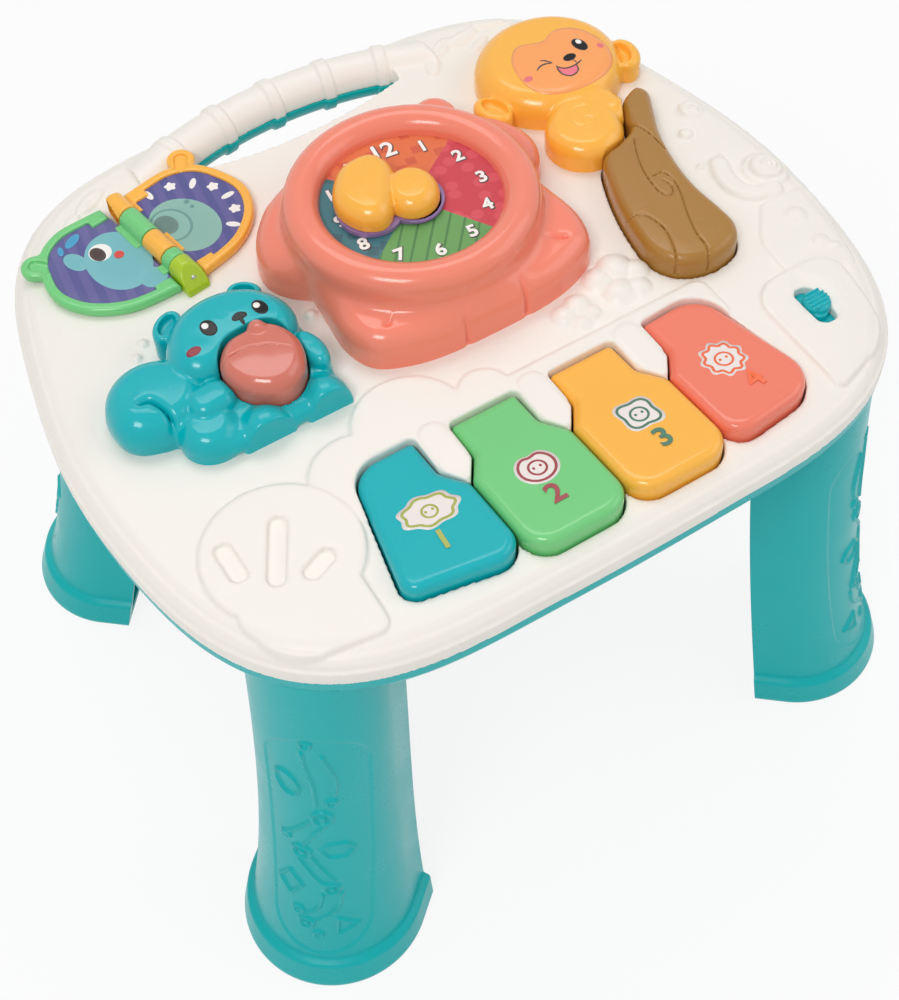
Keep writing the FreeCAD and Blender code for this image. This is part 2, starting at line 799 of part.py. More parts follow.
def make_clip():
    """The end clip that covers and holds the pin's lower end."""
    high = knuckle_ends[-1] - knuckle_gap
    low = high - clip_length
    block = box(-5.8, 5.8, low, high, 0.0, hinge_rise)
    crown = bored(5.8, low, high)
    clip = fuse([block, crown]).cut(bored(pin_radius + 0.05, low + 3, high + 1))
    clip = clip.cut(box(-20, 20, low - 5, high + 5, -10, 0.0))
    slope = Part.Face(
        Part.makePolygon(
            [Vec(-20, low - 1, 4), Vec(-20, low + 7, 13.5), Vec(-20, low - 1, 13.5), Vec(-20, low - 1, 4)]
        )
    ).extrude(Vec(40, 0, 0))
    return book_placed(clip.cut(slope))


# Clock

bear_points = [
    (0, -64), (-27, -63), (-45, -58.5), (-56.5, -51), (-61, -36), (-59, -18), (-55, -4),
    (-64.5, 2), (-70.5, 14), (-67.5, 29), (-59, 41), (-49, 49), (-35, 54), (0, 57.5),
]


def bear_loop():
    """The whole base outline of the clock housing from its left half."""
    left = [(bear_x + x, clock_y + y) for x, y in bear_points]
    right = [(bear_x - x, clock_y + y) for x, y in reversed(bear_points[1:-1])]
    return left + right


def make_clock_housing():
    body_top = bear_body_rise
    skirt = layered(
        bear_loop(),
        [(0, 0), (0.4, body_top * 0.45), (2.2, body_top * 0.75), (5.5, body_top * 0.94), (10, body_top)],
    )
    arm_limit = box(-120, 120, clock_y + 0, clock_y + 90, 15.5, 60)
    skirt = skirt.cut(arm_limit)
    crest = ring_crest
    head = revolved(
        clock_x,
        clock_y,
        [
            (0, 0), (head_radius, 0), (head_radius, crest - 12), (head_radius - 1.5, crest - 7),
            (head_radius - 4.5, crest - 3), (head_radius - 8, crest - 0.8), (head_radius - 11, crest),
            (window_radius + 2, crest - 1.0), (window_radius, crest - 3.5), (0, crest - 3.5),
        ],
    )
    pieces = [skirt, head]
    pieces.append(dome(clock_x + 42, clock_y + 50, 11, 11, 24, 0, 8))
    pieces.append(dome(clock_x - 2.5, clock_y + 52, 14, 12.5, 27, 0, 12))
    for side in (-1, 1):
        pieces.append(dome(bear_x + side * 55.5, clock_y + 17, 15, 17, 20, 0, 4))
        pieces.append(dome(bear_x + side * 33, clock_y - 44, 21, 17, bear_body_rise + 1.5, 0, 6))
    housing = fuse(pieces)
    lip = dial_level + dial_thickness
    cavity = revolved(
        clock_x,
        clock_y,
        [
            (0, -1), (window_radius + dial_ledge, -1), (window_radius + dial_ledge, lip),
            (window_radius, lip), (window_radius, crest + 5), (0, crest + 5),
        ],
    )
    return housing.cut(cavity)


def make_dial():
    disc = rod(clock_x, clock_y, dial_level, dial_level + dial_thickness, window_radius + dial_ledge - fit_gap)
    boss = rod(clock_x, clock_y, dial_level - 6, dial_level, spindle_radius + 3)
    hole = rod(clock_x, clock_y, dial_level - 10, dial_level + 10, spindle_radius + running_gap)
    return fuse([disc, boss]).cut(hole)


spinner_floor = dial_level + dial_thickness + spinner_gap


def make_spinner_base():
    """The purple plate under the yellow hand, with the spindle that turns in the dial."""
    low = spinner_floor
    high = low + spinner_plate
    near = rod(clock_x - 0.5, clock_y - 2, low, high, 14.0)
    far = stadium(clock_x - 18, clock_y + 6, 38, 29, 72, low, high)
    stem = rod(clock_x, clock_y, dial_level - 12, low, spindle_radius)
    collar = rod(clock_x, clock_y, dial_level + dial_thickness + 0.15, low, spindle_radius + 3)
    return fuse([near, far, stem, collar])


def make_spinner_top():
    low = spinner_floor + spinner_plate
    near = dome(clock_x - 0.5, clock_y - 2, 12.6, 13.2, 9.5, 0, 2.0)
    far = dome(clock_x - 18, clock_y + 6, 20.0, 14.6, 11.5, 72, 2.0)
    top = fuse([near, far])
    top.translate(Vec(0, 0, low))
    return top


def make_retainer():
    """The push-on washer that keeps the spindle from lifting out of the dial's boss."""
    high = dial_level - 6 - running_gap
    return tube(clock_x, clock_y, high - 1.2, high, spindle_radius + 3.2, spindle_radius)


# Figures

def make_squirrel():
    """The squirrel: head, tail, belly, paws and feet, around the acorn's opening."""
    base_points = [
        (-155, -5), (-151, -15), (-143, -21), (-135, -24), (-131, -33), (-123, -40), (-112, -42),
        (-88, -42.3), (-68, -42), (-62, -37), (-62.5, -28), (-61, -15), (-62.5, 3), (-68, 17),
        (-79, 27), (-93, 31), (-108, 26), (-119, 14), (-132, 18), (-147, 12), (-154, 3),
    ]
    base = layered(base_points, [(0, 0), (0.3, 6), (1.8, 9.5), (4.5, 11.5)])
    lobes = [
        dome(-92, 9, 28.5, 22, 25, 0, 6),
        dome(-133.5, -3, 21.5, 20, 19, 0, 4),
        dome(-121, -27, 12.5, 13.5, 15, 20, 3),
        dome(-90, -16, 26, 22, 15, 0, 4),
        dome(-113, -17, 10.5, 8.5, 20, -10, 5),
        dome(-66.5, -17, 5.5, 10.5, 19, 0, 5),
        dome(-102, -35, 11.5, 9.5, 17, 0, 6),
        dome(-74, -35, 11.5, 9.5, 17, 0, 6),
    ]
    for x, turn in ((-114, 35.0), (-72, -35.0)):
        y = 25.5
        cup = dome(x, y, 7.5, 6.0, 17, turn, 6)
        cup = cup.cut(dome(x, y, 4.6, 3.4, 9, turn, 2).translated(Vec(0, 0, 10)))
        lobes.append(cup)
    front = box(-170, -40, -60, -42.3, -1, 40)
    acorn_room = prism(acorn_points, -5, 60, -button_gap + 0.1)
    return fuse([form.cut(acorn_room).cut(front) for form in [base] + lobes])


def flange_for(points, low):
    return prism(points, low, low + flange_thickness, -flange_width)


flange_level = -shell_wall - flange_gap - flange_thickness


def make_acorn():
    body = layered(acorn_points, [(0, flange_level), (0, acorn_rise * 0.62), (1.6, acorn_rise * 0.8),
                                  (5, acorn_rise * 0.94), (9, acorn_rise)])
    stem = dome(-82.0, -2.0, 3.6, 4.2, acorn_rise + 1.0, 0, 20)
    plunger = rod(-88, -16, press_level, flange_level + 1, 2.5)
    return fuse([body, stem, flange_for(acorn_points, flange_level), plunger])


def make_trunk():
    body = layered(trunk_points, [(0, flange_level), (0, trunk_rise * 0.5), (0.9, trunk_rise * 0.78),
                                  (3.0, trunk_rise * 0.95), (5.5, trunk_rise)])
    plunger = rod(112, -28, press_level, flange_level + 1, 2.5)
    return fuse([body, flange_for(trunk_points, flange_level), plunger])


def make_monkey():
    """Head, ears, shoulder, arm and hand, each cut back from the trunk that the arm holds."""
    forms = [
        dome(116.5, 78, 36, 34, monkey_rise, 0, 4),
        dome(115.5, 43, 16, 12, monkey_rise - 3.5, 0, 4),
        dome(105.6, 31.5, 18.5, 18.5, monkey_rise - 3, 0, 4),
        dome(125, 36, 7.5, 8, monkey_rise - 5, 0, 4),
    ]
    for x, y, turn in ((77.5, 66, 15.0), (151, 64, -15.0)):
        ear = dome(x, y, 7.5, 10.5, monkey_rise - 5, turn, 5)
        forms.append(ear.cut(dome(x, y, 4.4, 6.8, 9, turn, 2).translated(Vec(0, 0, monkey_rise - 11))))
    trunk_room = prism(trunk_points, -5, 60, -button_gap)
    return fuse([form.cut(trunk_room) for form in forms])


# Boards, speaker, switch and batteries

def board_posts():
    return ((-78, -112), (5, -112), (78, -112), (-96, -40), (120, -40), (-96, 24), (20, -40))


def silicone_dome(x, y):
    low = board_level + board_thickness
    return revolved(
        x,
        y,
        [
            (dome_radius + 2, low), (dome_radius, low + 0.8), (3.0, low + dome_height),
            (0, low + dome_height), (0, low + dome_height - 1.5), (dome_radius - 1.2, low),
        ],
    )


def make_key_board():
    corners = ((-82, -124, 3), (84, -124, 3), (84, -106, 3), (-82, -106, 3))
    return slab(corners, board_level, board_level + board_thickness)


def make_main_board():
    """The L-shaped board under the deck, which carries the lamps and the sound chip."""
    corners = ((-102, -46, 3), (126, -46, 3), (126, -14, 3), (50, -14, 3), (50, -2, 3), (-28, -2, 3), (-28, 30, 3), (-102, 30, 3))
    board = slab(corners, board_level, board_level + board_thickness)
    top = board_level + board_thickness
    chip = box(-60, -48, -40, -28, top, top + 2)
    crystal = box(-40, -34, -40, -30, top, top + 3)
    connector = box(20, 34, -42, -36, top, top + 5)
    return fuse([board, chip, crystal, connector])


def make_lamps():
    top = board_level + board_thickness
    lamps = []
    for x in (-14, 8, 30):
        body = rod(x, -8, top, top + 5, 2.5)
        nose = Part.makeCone(2.5, 1.2, 2.0, Vec(x, -8, top + 5))
        lamps.append(fuse([body, nose]))
    return Part.makeCompound(lamps)


def make_speaker():
    top = -shell_wall
    basket = revolved(
        speaker_x,
        speaker_y,
        [
            (0, top - speaker_depth), (9, top - speaker_depth), (9, top - 8), (speaker_radius - 1, top - 2.5),
            (speaker_radius, top - 2.5), (speaker_radius, top), (speaker_radius - 2, top), (8, top - 5), (0, top - 4),
        ],
    )
    return basket


def make_speaker_clamp():
    """The ring that presses the speaker's rim against the deck from below."""
    high = -shell_wall - 2.5
    return tube(speaker_x, speaker_y, high - 1.5, high, speaker_radius + fit_gap - 0.1, speaker_radius - 0.9)


def make_switch_cap():
    """The ribbed slider, its neck in the slot and its flange under the deck."""
    top = corner_rise + 3.0
    cap = stadium(switch_x, switch_y, switch_cap_length, switch_slot_width - 1.2, 90, -shell_wall - 0.2, top - 1)
    ribs = []
    for i in range(4):
        y = switch_y - 3.9 + i * 2.6
        ribs.append(box(switch_x - 3.4, switch_x + 3.4, y - 0.6, y + 0.6, top - 1.5, top))
    flange = box(switch_x - 7, switch_x + 7, switch_y - 8, switch_y + 8, -shell_wall - 1.7, -shell_wall - 0.2)
    stem = box(switch_x - 1, switch_x + 1, switch_y - 1.5, switch_y + 1.5, switch_level + 5.2, -shell_wall - 1)
    return fuse([cap, flange, stem] + ribs)


def make_switch_body():
    low = switch_level
    body = box(switch_x - 12.5, switch_x + 12.5, switch_y - 8, switch_y + 8, low, low + board_thickness)
    case = box(switch_x - 4, switch_x + 4, switch_y - 7.5, switch_y + 7.5, low, low + 5.0)
    return fuse([body, case])


def cell_places():
    pitch = 2 * (cell_radius + cell_gap / 2)
    return [(i - (cell_count - 1) / 2) * pitch for i in range(cell_count)]


cell_level = -tub_depth + door_thickness + 0.3 + cell_radius


def make_cells():
    cells = []
    for x in cell_places():
        body = Part.makeCylinder(cell_radius, cell_length - 1.5, Vec(x, bay_y - cell_length / 2, cell_level), Vec(0, 1, 0))
        nub = Part.makeCylinder(2.7, 1.5, Vec(x, bay_y + cell_length / 2 - 1.5, cell_level), Vec(0, 1, 0))
        cells.append(fuse([body, nub]))
    return Part.makeCompound(cells)


def make_contacts():
    """A plate at one end and a plate with a short cone spring at the other, per cell."""
    end = bay_y + cell_length / 2 + 6
    start = bay_y - cell_length / 2 - 6
    contacts = []
    for x in cell_places():
        contacts.append(box(x - 6, x + 6, end - 0.8, end, cell_level - 6, cell_level + 6))
        cone_long = bay_y - cell_length / 2 - start - 0.8
        plate = box(x - 6, x + 6, start, start + 0.8, cell_level - 6, cell_level + 6)
        cone = Part.makeCone(5.0, 2.5, cone_long, Vec(x, start + 0.8, cell_level), Vec(0, 1, 0))
        contacts.append(fuse([plate, cone]))
        bridge = end - 0.8 - (bay_y + cell_length / 2)
        pad = Part.makeCylinder(3.0, bridge, Vec(x, bay_y + cell_length / 2, cell_level), Vec(0, 1, 0))
        contacts[-2] = fuse([contacts[-2], pad])
    return Part.makeCompound(contacts)


def make_battery_door():
    bay_half = cell_count * (cell_radius + cell_gap) + 3
    bay_long = cell_length / 2 + 8
    gap = 0.3
    door = box(
        -bay_half - 2 + gap, bay_half + 2 - gap, bay_y - bay_long - 2 + gap, bay_y + bay_long + 12 - gap,
        -tub_depth, -tub_depth + door_thickness,
    )
    door = edged(door, 1.5, lambda e: abs(e.BoundBox.ZLength - door_thickness) < 1e-3)
    y = bay_y + bay_long + 6
    door = door.cut([rod(0, y, -tub_depth - 1, 0, screw_radius + 0.2), rod(0, y, -tub_depth - 1, -tub_depth + 0.8, screw_head_radius + 0.2)])
    ribs = [box(-12, 12, bay_y - 20 + i * 3, bay_y - 19 + i * 3, -tub_depth - 0.6, -tub_depth + 0.5) for i in range(5)]
    return fuse([door] + ribs), y


def screw(x, y, low, length, head):
    """A pan-head screw that points up, with a cross slot in its head."""
    shank = rod(x, y, low, low + length, screw_radius - 0.2)
    cap = rod(x, y, low, low + head, screw_head_radius)
    cross = [box(x - 2, x + 2, y - 0.35, y + 0.35, low - 1, low + head * 0.5),
             box(x - 0.35, x + 0.35, y - 2, y + 2, low - 1, low + head * 0.5)]
    return fuse([shank, cap]).cut(cross)


def build():
    save("top_shell", make_top_shell())
    save("bottom_shell", make_bottom_shell())
    for name, side_x, side_y in (
        ("leg_front_left", -1, -1), ("leg_front_right", 1, -1), ("leg_back_left", -1, 1), ("leg_back_right", 1, 1),
    ):
        save(name, make_leg(side_x, side_y))
    for index in range(4):
        save("key_%d" % (index + 1), make_key(index))
        save("key_dome_%d" % (index + 1), silicone_dome(key_press_x[index], key_press_back))
    rod_start = key_rod_ribs[0] - 2.0
    save("key_rod", key_bore(rod_start, key_rod_ribs[1] + 2.0 - rod_start, key_rod_radius))
    save("key_board", make_key_board())
    save("main_board", make_main_board())
    save("lamps", make_lamps())
    save("acorn_dome", silicone_dome(-88, -16))
    save("trunk_dome", silicone_dome(112, -28))
    save("speaker", make_speaker())
    save("speaker_clamp", make_speaker_clamp())
    save("switch_cap", make_switch_cap())
    save("switch_body", make_switch_body())
    save("squirrel", make_squirrel())
    save("acorn_button", make_acorn())
    save("monkey", make_monkey())
    save("trunk_button", make_trunk())
    save("clock_housing", make_clock_housing())
    save("clock_dial", make_dial())
    save("spinner_base", make_spinner_base())
    save("spinner_hand", make_spinner_top())
    save("spinner_washer", make_retainer())
    ends = knuckle_ends
    yellow, yellow_card = make_page(1, ((ends[0], ends[1]), (ends[2], ends[3])))
    green, green_card = make_page(-1, ((ends[1], ends[2]), (ends[3], ends[4])))
    save("page_yellow", yellow)
    save("page_yellow_card", yellow_card)
    save("page_green", green)
    save("page_green_card", green_card)
    save("hinge_pin", book_placed(bored(pin_radius, ends[-1] - clip_length + 3, ends[0] + 3.2)))
    save("hinge_clip", make_clip())
    save("batteries", make_cells())
    save("battery_contacts", make_contacts())
    door, screw_y = make_battery_door()
    save("battery_door", door)
    save("battery_door_screw", screw(0, screw_y, -tub_depth, 9.5, 0.8))
    save("case_screws", Part.makeCompound([screw(x, y, screw_seat - 2.2, 34, 2.2) for x, y in screw_places()]))


build()
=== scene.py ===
import bpy
import json
import math
import numpy as np
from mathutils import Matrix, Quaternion, Vector
from types import SimpleNamespace

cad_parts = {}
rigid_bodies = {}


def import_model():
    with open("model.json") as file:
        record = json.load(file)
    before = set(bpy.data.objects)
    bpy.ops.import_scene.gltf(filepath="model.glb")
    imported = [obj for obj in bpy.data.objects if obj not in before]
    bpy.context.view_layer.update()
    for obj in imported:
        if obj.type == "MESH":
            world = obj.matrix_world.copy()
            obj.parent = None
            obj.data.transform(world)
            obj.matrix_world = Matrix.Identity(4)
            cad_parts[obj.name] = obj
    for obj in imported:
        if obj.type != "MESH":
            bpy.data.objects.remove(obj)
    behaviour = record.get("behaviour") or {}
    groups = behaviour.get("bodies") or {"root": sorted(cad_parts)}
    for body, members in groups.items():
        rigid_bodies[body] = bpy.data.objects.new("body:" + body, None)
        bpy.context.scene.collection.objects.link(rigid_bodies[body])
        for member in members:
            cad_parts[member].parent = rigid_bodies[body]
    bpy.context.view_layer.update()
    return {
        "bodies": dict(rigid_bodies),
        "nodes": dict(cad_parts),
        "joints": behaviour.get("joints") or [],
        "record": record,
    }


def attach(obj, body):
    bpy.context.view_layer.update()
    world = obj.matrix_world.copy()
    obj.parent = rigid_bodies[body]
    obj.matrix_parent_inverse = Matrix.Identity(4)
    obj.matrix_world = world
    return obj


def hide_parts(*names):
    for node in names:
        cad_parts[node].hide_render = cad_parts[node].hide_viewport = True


# Looks of the musical activity table. Shapes are written in millimetres, with z counted
# from the deck, and are moved to metres above the floor when their mesh is made.

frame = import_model()

mm = 0.001
deckHeight = 254.0
coarser = 1.0


# Solid shapes as distance fields: negative inside, in millimetres

# The grid of points that one piece is worked out on
def gridOf(box, step):
    x, y, z = (np.arange(low, high + step, step, dtype=np.float32) for low, high in box)
    return SimpleNamespace(step=step, start=np.array([low for low, high in box], np.float32),
                           x=x[:, None, None], y=y[None, :, None], z=z[None, None, :])


# A point turned about an origin and moved to its place
def spun(x, y, u, v, turn):
    c, n = math.cos(turn), math.sin(turn)
    return x + u * c - v * n, y + u * n + v * c


# Points of an oval arc in steps of equal angle
def ringPoints(a, b, angles):
    return [(a * math.cos(t), b * math.sin(t)) for t in angles]


def turned(s, cx, cy, turn):
    c, n = math.cos(math.radians(turn)), math.sin(math.radians(turn))
    dx, dy = s.x - cx, s.y - cy
    return dx * c + dy * n, dy * c - dx * n


# Two distances taken together, with the corner between them rounded
def rounded(u, v, r):
    return np.hypot(np.maximum(u, 0), np.maximum(v, 0)) + np.minimum(np.maximum(u, v), 0) - r


def circle(s, cx, cy, r):
    return np.hypot(s.x - cx, s.y - cy) - r


def oval(s, cx, cy, a, b, turn=0):
    px, py = turned(s, cx, cy, turn)
    k0 = np.sqrt((px / a) ** 2 + (py / b) ** 2)
    k1 = np.sqrt((px / a ** 2) ** 2 + (py / b ** 2) ** 2) + 1e-6
    return np.where(k0 < 0.1, -0.9 * min(a, b), k0 * (k0 - 1) / k1)


def block(s, cx, cy, halfX, halfY, r=0, turn=0):
    px, py = turned(s, cx, cy, turn)
    return rounded(np.abs(px) - halfX + r, np.abs(py) - halfY + r, r)


# A line of round pen strokes through the points
def stroke(s, points, r):
    best = None
    for (ax, ay), (bx, by) in zip(points[:-1], points[1:]):
        dx, dy = bx - ax, by - ay
        t = np.clip(((s.x - ax) * dx + (s.y - ay) * dy) / (dx * dx + dy * dy + 1e-9), 0, 1)
        d = np.hypot(s.x - ax - t * dx, s.y - ay - t * dy) - r
        best = d if best is None else np.minimum(best, d)
    return best


def polygon(s, points):
    sign = np.ones(np.broadcast_shapes(s.x.shape, s.y.shape), np.float32)
    best = np.full(sign.shape, 1e9, np.float32)
    for (ax, ay), (bx, by) in zip(points, points[1:] + points[:1]):
        ex, ey = bx - ax, by - ay
        wx, wy = s.x - ax, s.y - ay
        t = np.clip((wx * ex + wy * ey) / (ex * ex + ey * ey + 1e-9), 0, 1)
        best = np.minimum(best, (wx - ex * t) ** 2 + (wy - ey * t) ** 2)
        above, below = s.y >= ay, s.y < by
        left = ex * wy > ey * wx
        crossed = (above & below & left) | (~above & ~below & ~left)
        sign = np.where(crossed, -sign, sign)
    return sign * np.sqrt(best)


# Points along a smooth curve through the given ones
def curvy(points, parts=6, closed=True):
    count = len(points)
    made = []
    for i in range(count if closed else count - 1):
        if closed:
            p = [points[(i + k) % count] for k in (-1, 0, 1, 2)]
        else:
            p = [points[min(max(i + k, 0), count - 1)] for k in (-1, 0, 1, 2)]
        for j in range(parts):
            t = j / parts
            made.append(tuple(
                0.5 * (2 * p[1][k] + (p[2][k] - p[0][k]) * t
                       + (2 * p[0][k] - 5 * p[1][k] + 4 * p[2][k] - p[3][k]) * t * t
                       + (3 * p[1][k] - p[0][k] - 3 * p[2][k] + p[3][k]) * t ** 3)
                for k in (0, 1)))
    if not closed:
        made.append(tuple(points[-1]))
    return made


# A flat shape given height, its upper and lower edges rounded
def slab(s, d, low, high, r=0.0):
    r = max(r, 1e-3)
    return rounded(d + r, np.abs(s.z - (low + high) / 2) - (high - low) / 2 + r, r)


def ball(s, cx, cy, cz, a, b, c, turn=0):
    px, py = turned(s, cx, cy, turn)
    pz = s.z - cz
    k0 = np.sqrt((px / a) ** 2 + (py / b) ** 2 + (pz / c) ** 2)
    k1 = np.sqrt((px / a ** 2) ** 2 + (py / b ** 2) ** 2 + (pz / c ** 2) ** 2) + 1e-6
    return np.where(k0 < 0.1, -0.9 * min(a, b, c), k0 * (k0 - 1) / k1)


def join(a, b, soft=0.0):
    if soft <= 0:
        return np.minimum(a, b)
    h = np.maximum(soft - np.abs(a - b), 0) / soft
    return np.minimum(a, b) - h * h * soft / 4


def carve(a, b, soft=0.0):
    return -join(-a, b, soft)


def within(a, b, soft=0.0):
    return -join(-a, -b, soft)


# Vertices and quads of the field's zero surface: one vertex in each cell it crosses
def surface(s, f):
    f = np.broadcast_to(f, (s.x.size, s.y.size, s.z.size))
    inside = f < 0
    corners = [(i, j, k) for i in (0, 1) for j in (0, 1) for k in (0, 1)]
    nx, ny, nz = (n - 1 for n in f.shape)
    count = np.zeros((nx, ny, nz), np.int8)
    for i, j, k in corners:
        count += inside[i:i + nx, j:j + ny, k:k + nz]
    cells = np.argwhere((count > 0) & (count < 8))
    number = np.full((nx, ny, nz), -1, np.int64)
    number[tuple(cells.T)] = np.arange(len(cells))
    total = np.zeros((len(cells), 3))
    crossings = np.zeros(len(cells))
    for a in corners:
        for axis in range(3):
            if a[axis]:
                continue
            b = tuple(1 if n == axis else a[n] for n in range(3))
            fa = f[tuple((cells + a).T)]
            fb = f[tuple((cells + b).T)]
            crosses = (fa < 0) != (fb < 0)
            t = np.where(crosses, fa / np.where(crosses, fa - fb, 1), 0)
            spot = np.array(a, float) + t[:, None] * (np.array(b) - np.array(a))
            total += spot * crosses[:, None]
            crossings += crosses
    verts = s.start + s.step * (cells + total / crossings[:, None])
    quads = []
    for axis in range(3):
        u, v = (axis + 1) % 3, (axis + 2) % 3
        first = [slice(None)] * 3
        second = [slice(None)] * 3
        first[axis], second[axis] = slice(0, -1), slice(1, None)
        a, b = inside[tuple(first)], inside[tuple(second)]
        edges = np.argwhere(a != b)
        edges = edges[(edges[:, u] > 0) & (edges[:, v] > 0)]
        edges = edges[(edges[:, u] < f.shape[u] - 1) & (edges[:, v] < f.shape[v] - 1)]
        leaving = a[tuple(edges.T)]
        around = []
        for du, dv in ((-1, -1), (0, -1), (0, 0), (-1, 0)):
            cell = edges.copy()
            cell[:, u] += du
            cell[:, v] += dv
            around.append(number[tuple(cell.T)])
        quad = np.stack(around, 1)
        quad[~leaving] = quad[~leaving][:, ::-1]
        quads.append(quad)
    return verts, np.concatenate(quads)


def placed(name, data):
    made = bpy.data.objects.new(name, data)
    bpy.context.scene.collection.objects.link(made)
    return made


# A mesh object from millimetres above the deck
def newMesh(name, verts, faces, smooth=True):
    verts = np.array(verts, float).reshape(-1, 3)
    verts = (verts + (0, 0, deckHeight)) * mm
    mesh = bpy.data.meshes.new(name)
    if isinstance(faces, np.ndarray):
        mesh.vertices.add(len(verts))
        mesh.vertices.foreach_set("co", verts.astype(np.float32).ravel())
        size = faces.shape[1]
        mesh.loops.add(faces.size)
        mesh.loops.foreach_set("vertex_index", faces.astype(np.int32).ravel())
        mesh.polygons.add(len(faces))
        mesh.polygons.foreach_set("loop_start", np.arange(0, faces.size, size, dtype=np.int32))
        mesh.update(calc_edges=True)
    else:
        mesh.from_pydata([tuple(v) for v in verts], [], faces)
    mesh.polygons.foreach_set("use_smooth", np.full(len(mesh.polygons), smooth))
    mesh.update()
    mesh.validate()
    return placed(name, mesh)


def dress(piece, body, material, replaces=()):
    piece.data.materials.clear()
    piece.data.materials.append(material)
    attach(piece, body)
    if replaces:
        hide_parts(*replaces)
    return piece


# A piece from its distance field, worked out inside the box
def solid(name, box, step, field, body, material, replaces=()):
    s = gridOf(box, step * coarser)
    verts, quads = surface(s, field(s))
    print(name, len(quads), "faces")
    return dress(newMesh(name, verts, quads), body, material, replaces)


# Materials

skinLook = {
    "broadNoise": (9.0, 3.0), "fineNoise": (900.0, 2.0), "smearNoise": (45.0, 5.0), "smearRange": (0.3, 0.7),
    "wornRange": (0.53, 0.66), "wornShare": 0.15, "grainHeight": 0.0002,
}
skinSockets = {
    "INPUT": (("Colour", "Color", (0.8, 0.8, 0.8, 1)), ("Worn", "Color", (0.9, 0.9, 0.9, 1)),
              ("Drift", "Float", 0.03), ("Gloss low", "Float", 0.25), ("Gloss high", "Float", 0.33),
              ("Grain", "Float", 0.02)),
    "OUTPUT": (("Colour", "Color", None), ("Roughness", "Float", None), ("Normal", "Vector", None)),
}


# A shader node with settings of its own and values on some of its inputs
def newNode(nodes, kind, values=None, **settings):
    made = nodes.new("ShaderNode" + kind)
    for name, setting in settings.items():
        setattr(made, name, setting)
    for socket, value in (values or {}).items():
        made.inputs[socket].default_value = value
    return made


def wire(tree, *pairs):
    for source, target in pairs:
        tree.links.new(source, target)


# Colour drift, fine grain, worn edges and a soft bump for moulded plastic
def mouldedSkinGroup():
    q = skinLook
    group = bpy.data.node_groups.new("mouldedSkin", "ShaderNodeTree")
    for side, sockets in skinSockets.items():
        for name, kind, value in sockets:
            made = group.interface.new_socket(name=name, in_out=side, socket_type="NodeSocket" + kind)
            if value is not None:
                made.default_value = value
    nodes = group.nodes
    given, out = nodes.new("NodeGroupInput").outputs, nodes.new("NodeGroupOutput").inputs
    place, geometry = newNode(nodes, "TexCoord"), newNode(nodes, "NewGeometry")
    broad, fine, smear = (newNode(nodes, "TexNoise", {"Scale": q[kind][0], "Detail": q[kind][1]})
                          for kind in ("broadNoise", "fineNoise", "smearNoise"))
    centred = newNode(nodes, "Math", {1: 0.5}, operation="SUBTRACT")
    scaled = newNode(nodes, "Math", {2: 1.0}, operation="MULTIPLY_ADD")
    shade = newNode(nodes, "HueSaturation")
    edge = newNode(nodes, "MapRange", {"From Min": q["wornRange"][0], "From Max": q["wornRange"][1],
                                       "To Max": q["wornShare"]})
    worn = newNode(nodes, "Mix", data_type="RGBA")
    gloss = newNode(nodes, "MapRange", {"From Min": q["smearRange"][0], "From Max": q["smearRange"][1]})
    bump = newNode(nodes, "Bump", {"Distance": q["grainHeight"]})
    wire(group, *((place.outputs["Object"], noise.inputs["Vector"]) for noise in (broad, fine, smear)))
    wire(group, (broad.outputs["Fac"], centred.inputs[0]), (centred.outputs[0], scaled.inputs[0]),
         (given["Drift"], scaled.inputs[1]), (given["Colour"], shade.inputs["Color"]),
         (scaled.outputs[0], shade.inputs["Value"]), (geometry.outputs["Pointiness"], edge.inputs["Value"]),
         (edge.outputs["Result"], worn.inputs["Factor"]), (shade.outputs["Color"], worn.inputs["A"]),
         (given["Worn"], worn.inputs["B"]), (worn.outputs["Result"], out["Colour"]))
    wire(group, (smear.outputs["Fac"], gloss.inputs["Value"]), (given["Gloss low"], gloss.inputs["To Min"]),
         (given["Gloss high"], gloss.inputs["To Max"]), (gloss.outputs["Result"], out["Roughness"]),
         (given["Grain"], bump.inputs["Strength"]), (fine.outputs["Fac"], bump.inputs["Height"]),
         (bump.outputs["Normal"], out["Normal"]))
    return group


skinGroup = mouldedSkinGroup()
coatGloss, glowReach, glowScale = 0.08, (0.004, 0.003, 0.002), 0.5


# Linear colour of a six-figure screen colour
def srgb(code):
    parts = [int(code[i:i + 2], 16) / 255 for i in (0, 2, 4)]
    return tuple(p / 12.92 if p <= 0.04045 else ((p + 0.055) / 1.055) ** 2.4 for p in parts) + (1.0,)


def plastic(name, code, gloss=(0.3, 0.4), coat=0.2, grain=0.03, drift=0.05, metal=0.0, glow=0.0, shine=0.4):
    made = bpy.data.materials.new(name)
    made.use_nodes = True
    shader = made.node_tree.nodes["Principled BSDF"].inputs
    colour = srgb(code)
    pale = tuple(min(1.0, 0.35 + 0.65 * c) for c in colour[:3]) + (1.0,)
    skin = newNode(made.node_tree.nodes, "Group", node_tree=skinGroup)
    for socket, value in (("Colour", colour), ("Worn", pale), ("Drift", drift), ("Gloss low", gloss[0]),
                          ("Gloss high", gloss[1]), ("Grain", grain)):
        skin.inputs[socket].default_value = value
    wire(made.node_tree, (skin.outputs["Colour"], shader["Base Color"]),
         (skin.outputs["Roughness"], shader["Roughness"]), (skin.outputs["Normal"], shader["Normal"]))
    for socket, value in (("Metallic", metal), ("Specular IOR Level", shine), ("Coat Weight", coat),
                          ("Coat Roughness", coatGloss), ("Subsurface Weight", glow),
                          ("Subsurface Radius", glowReach), ("Subsurface Scale", glowScale)):
        shader[socket].default_value = value
    return made


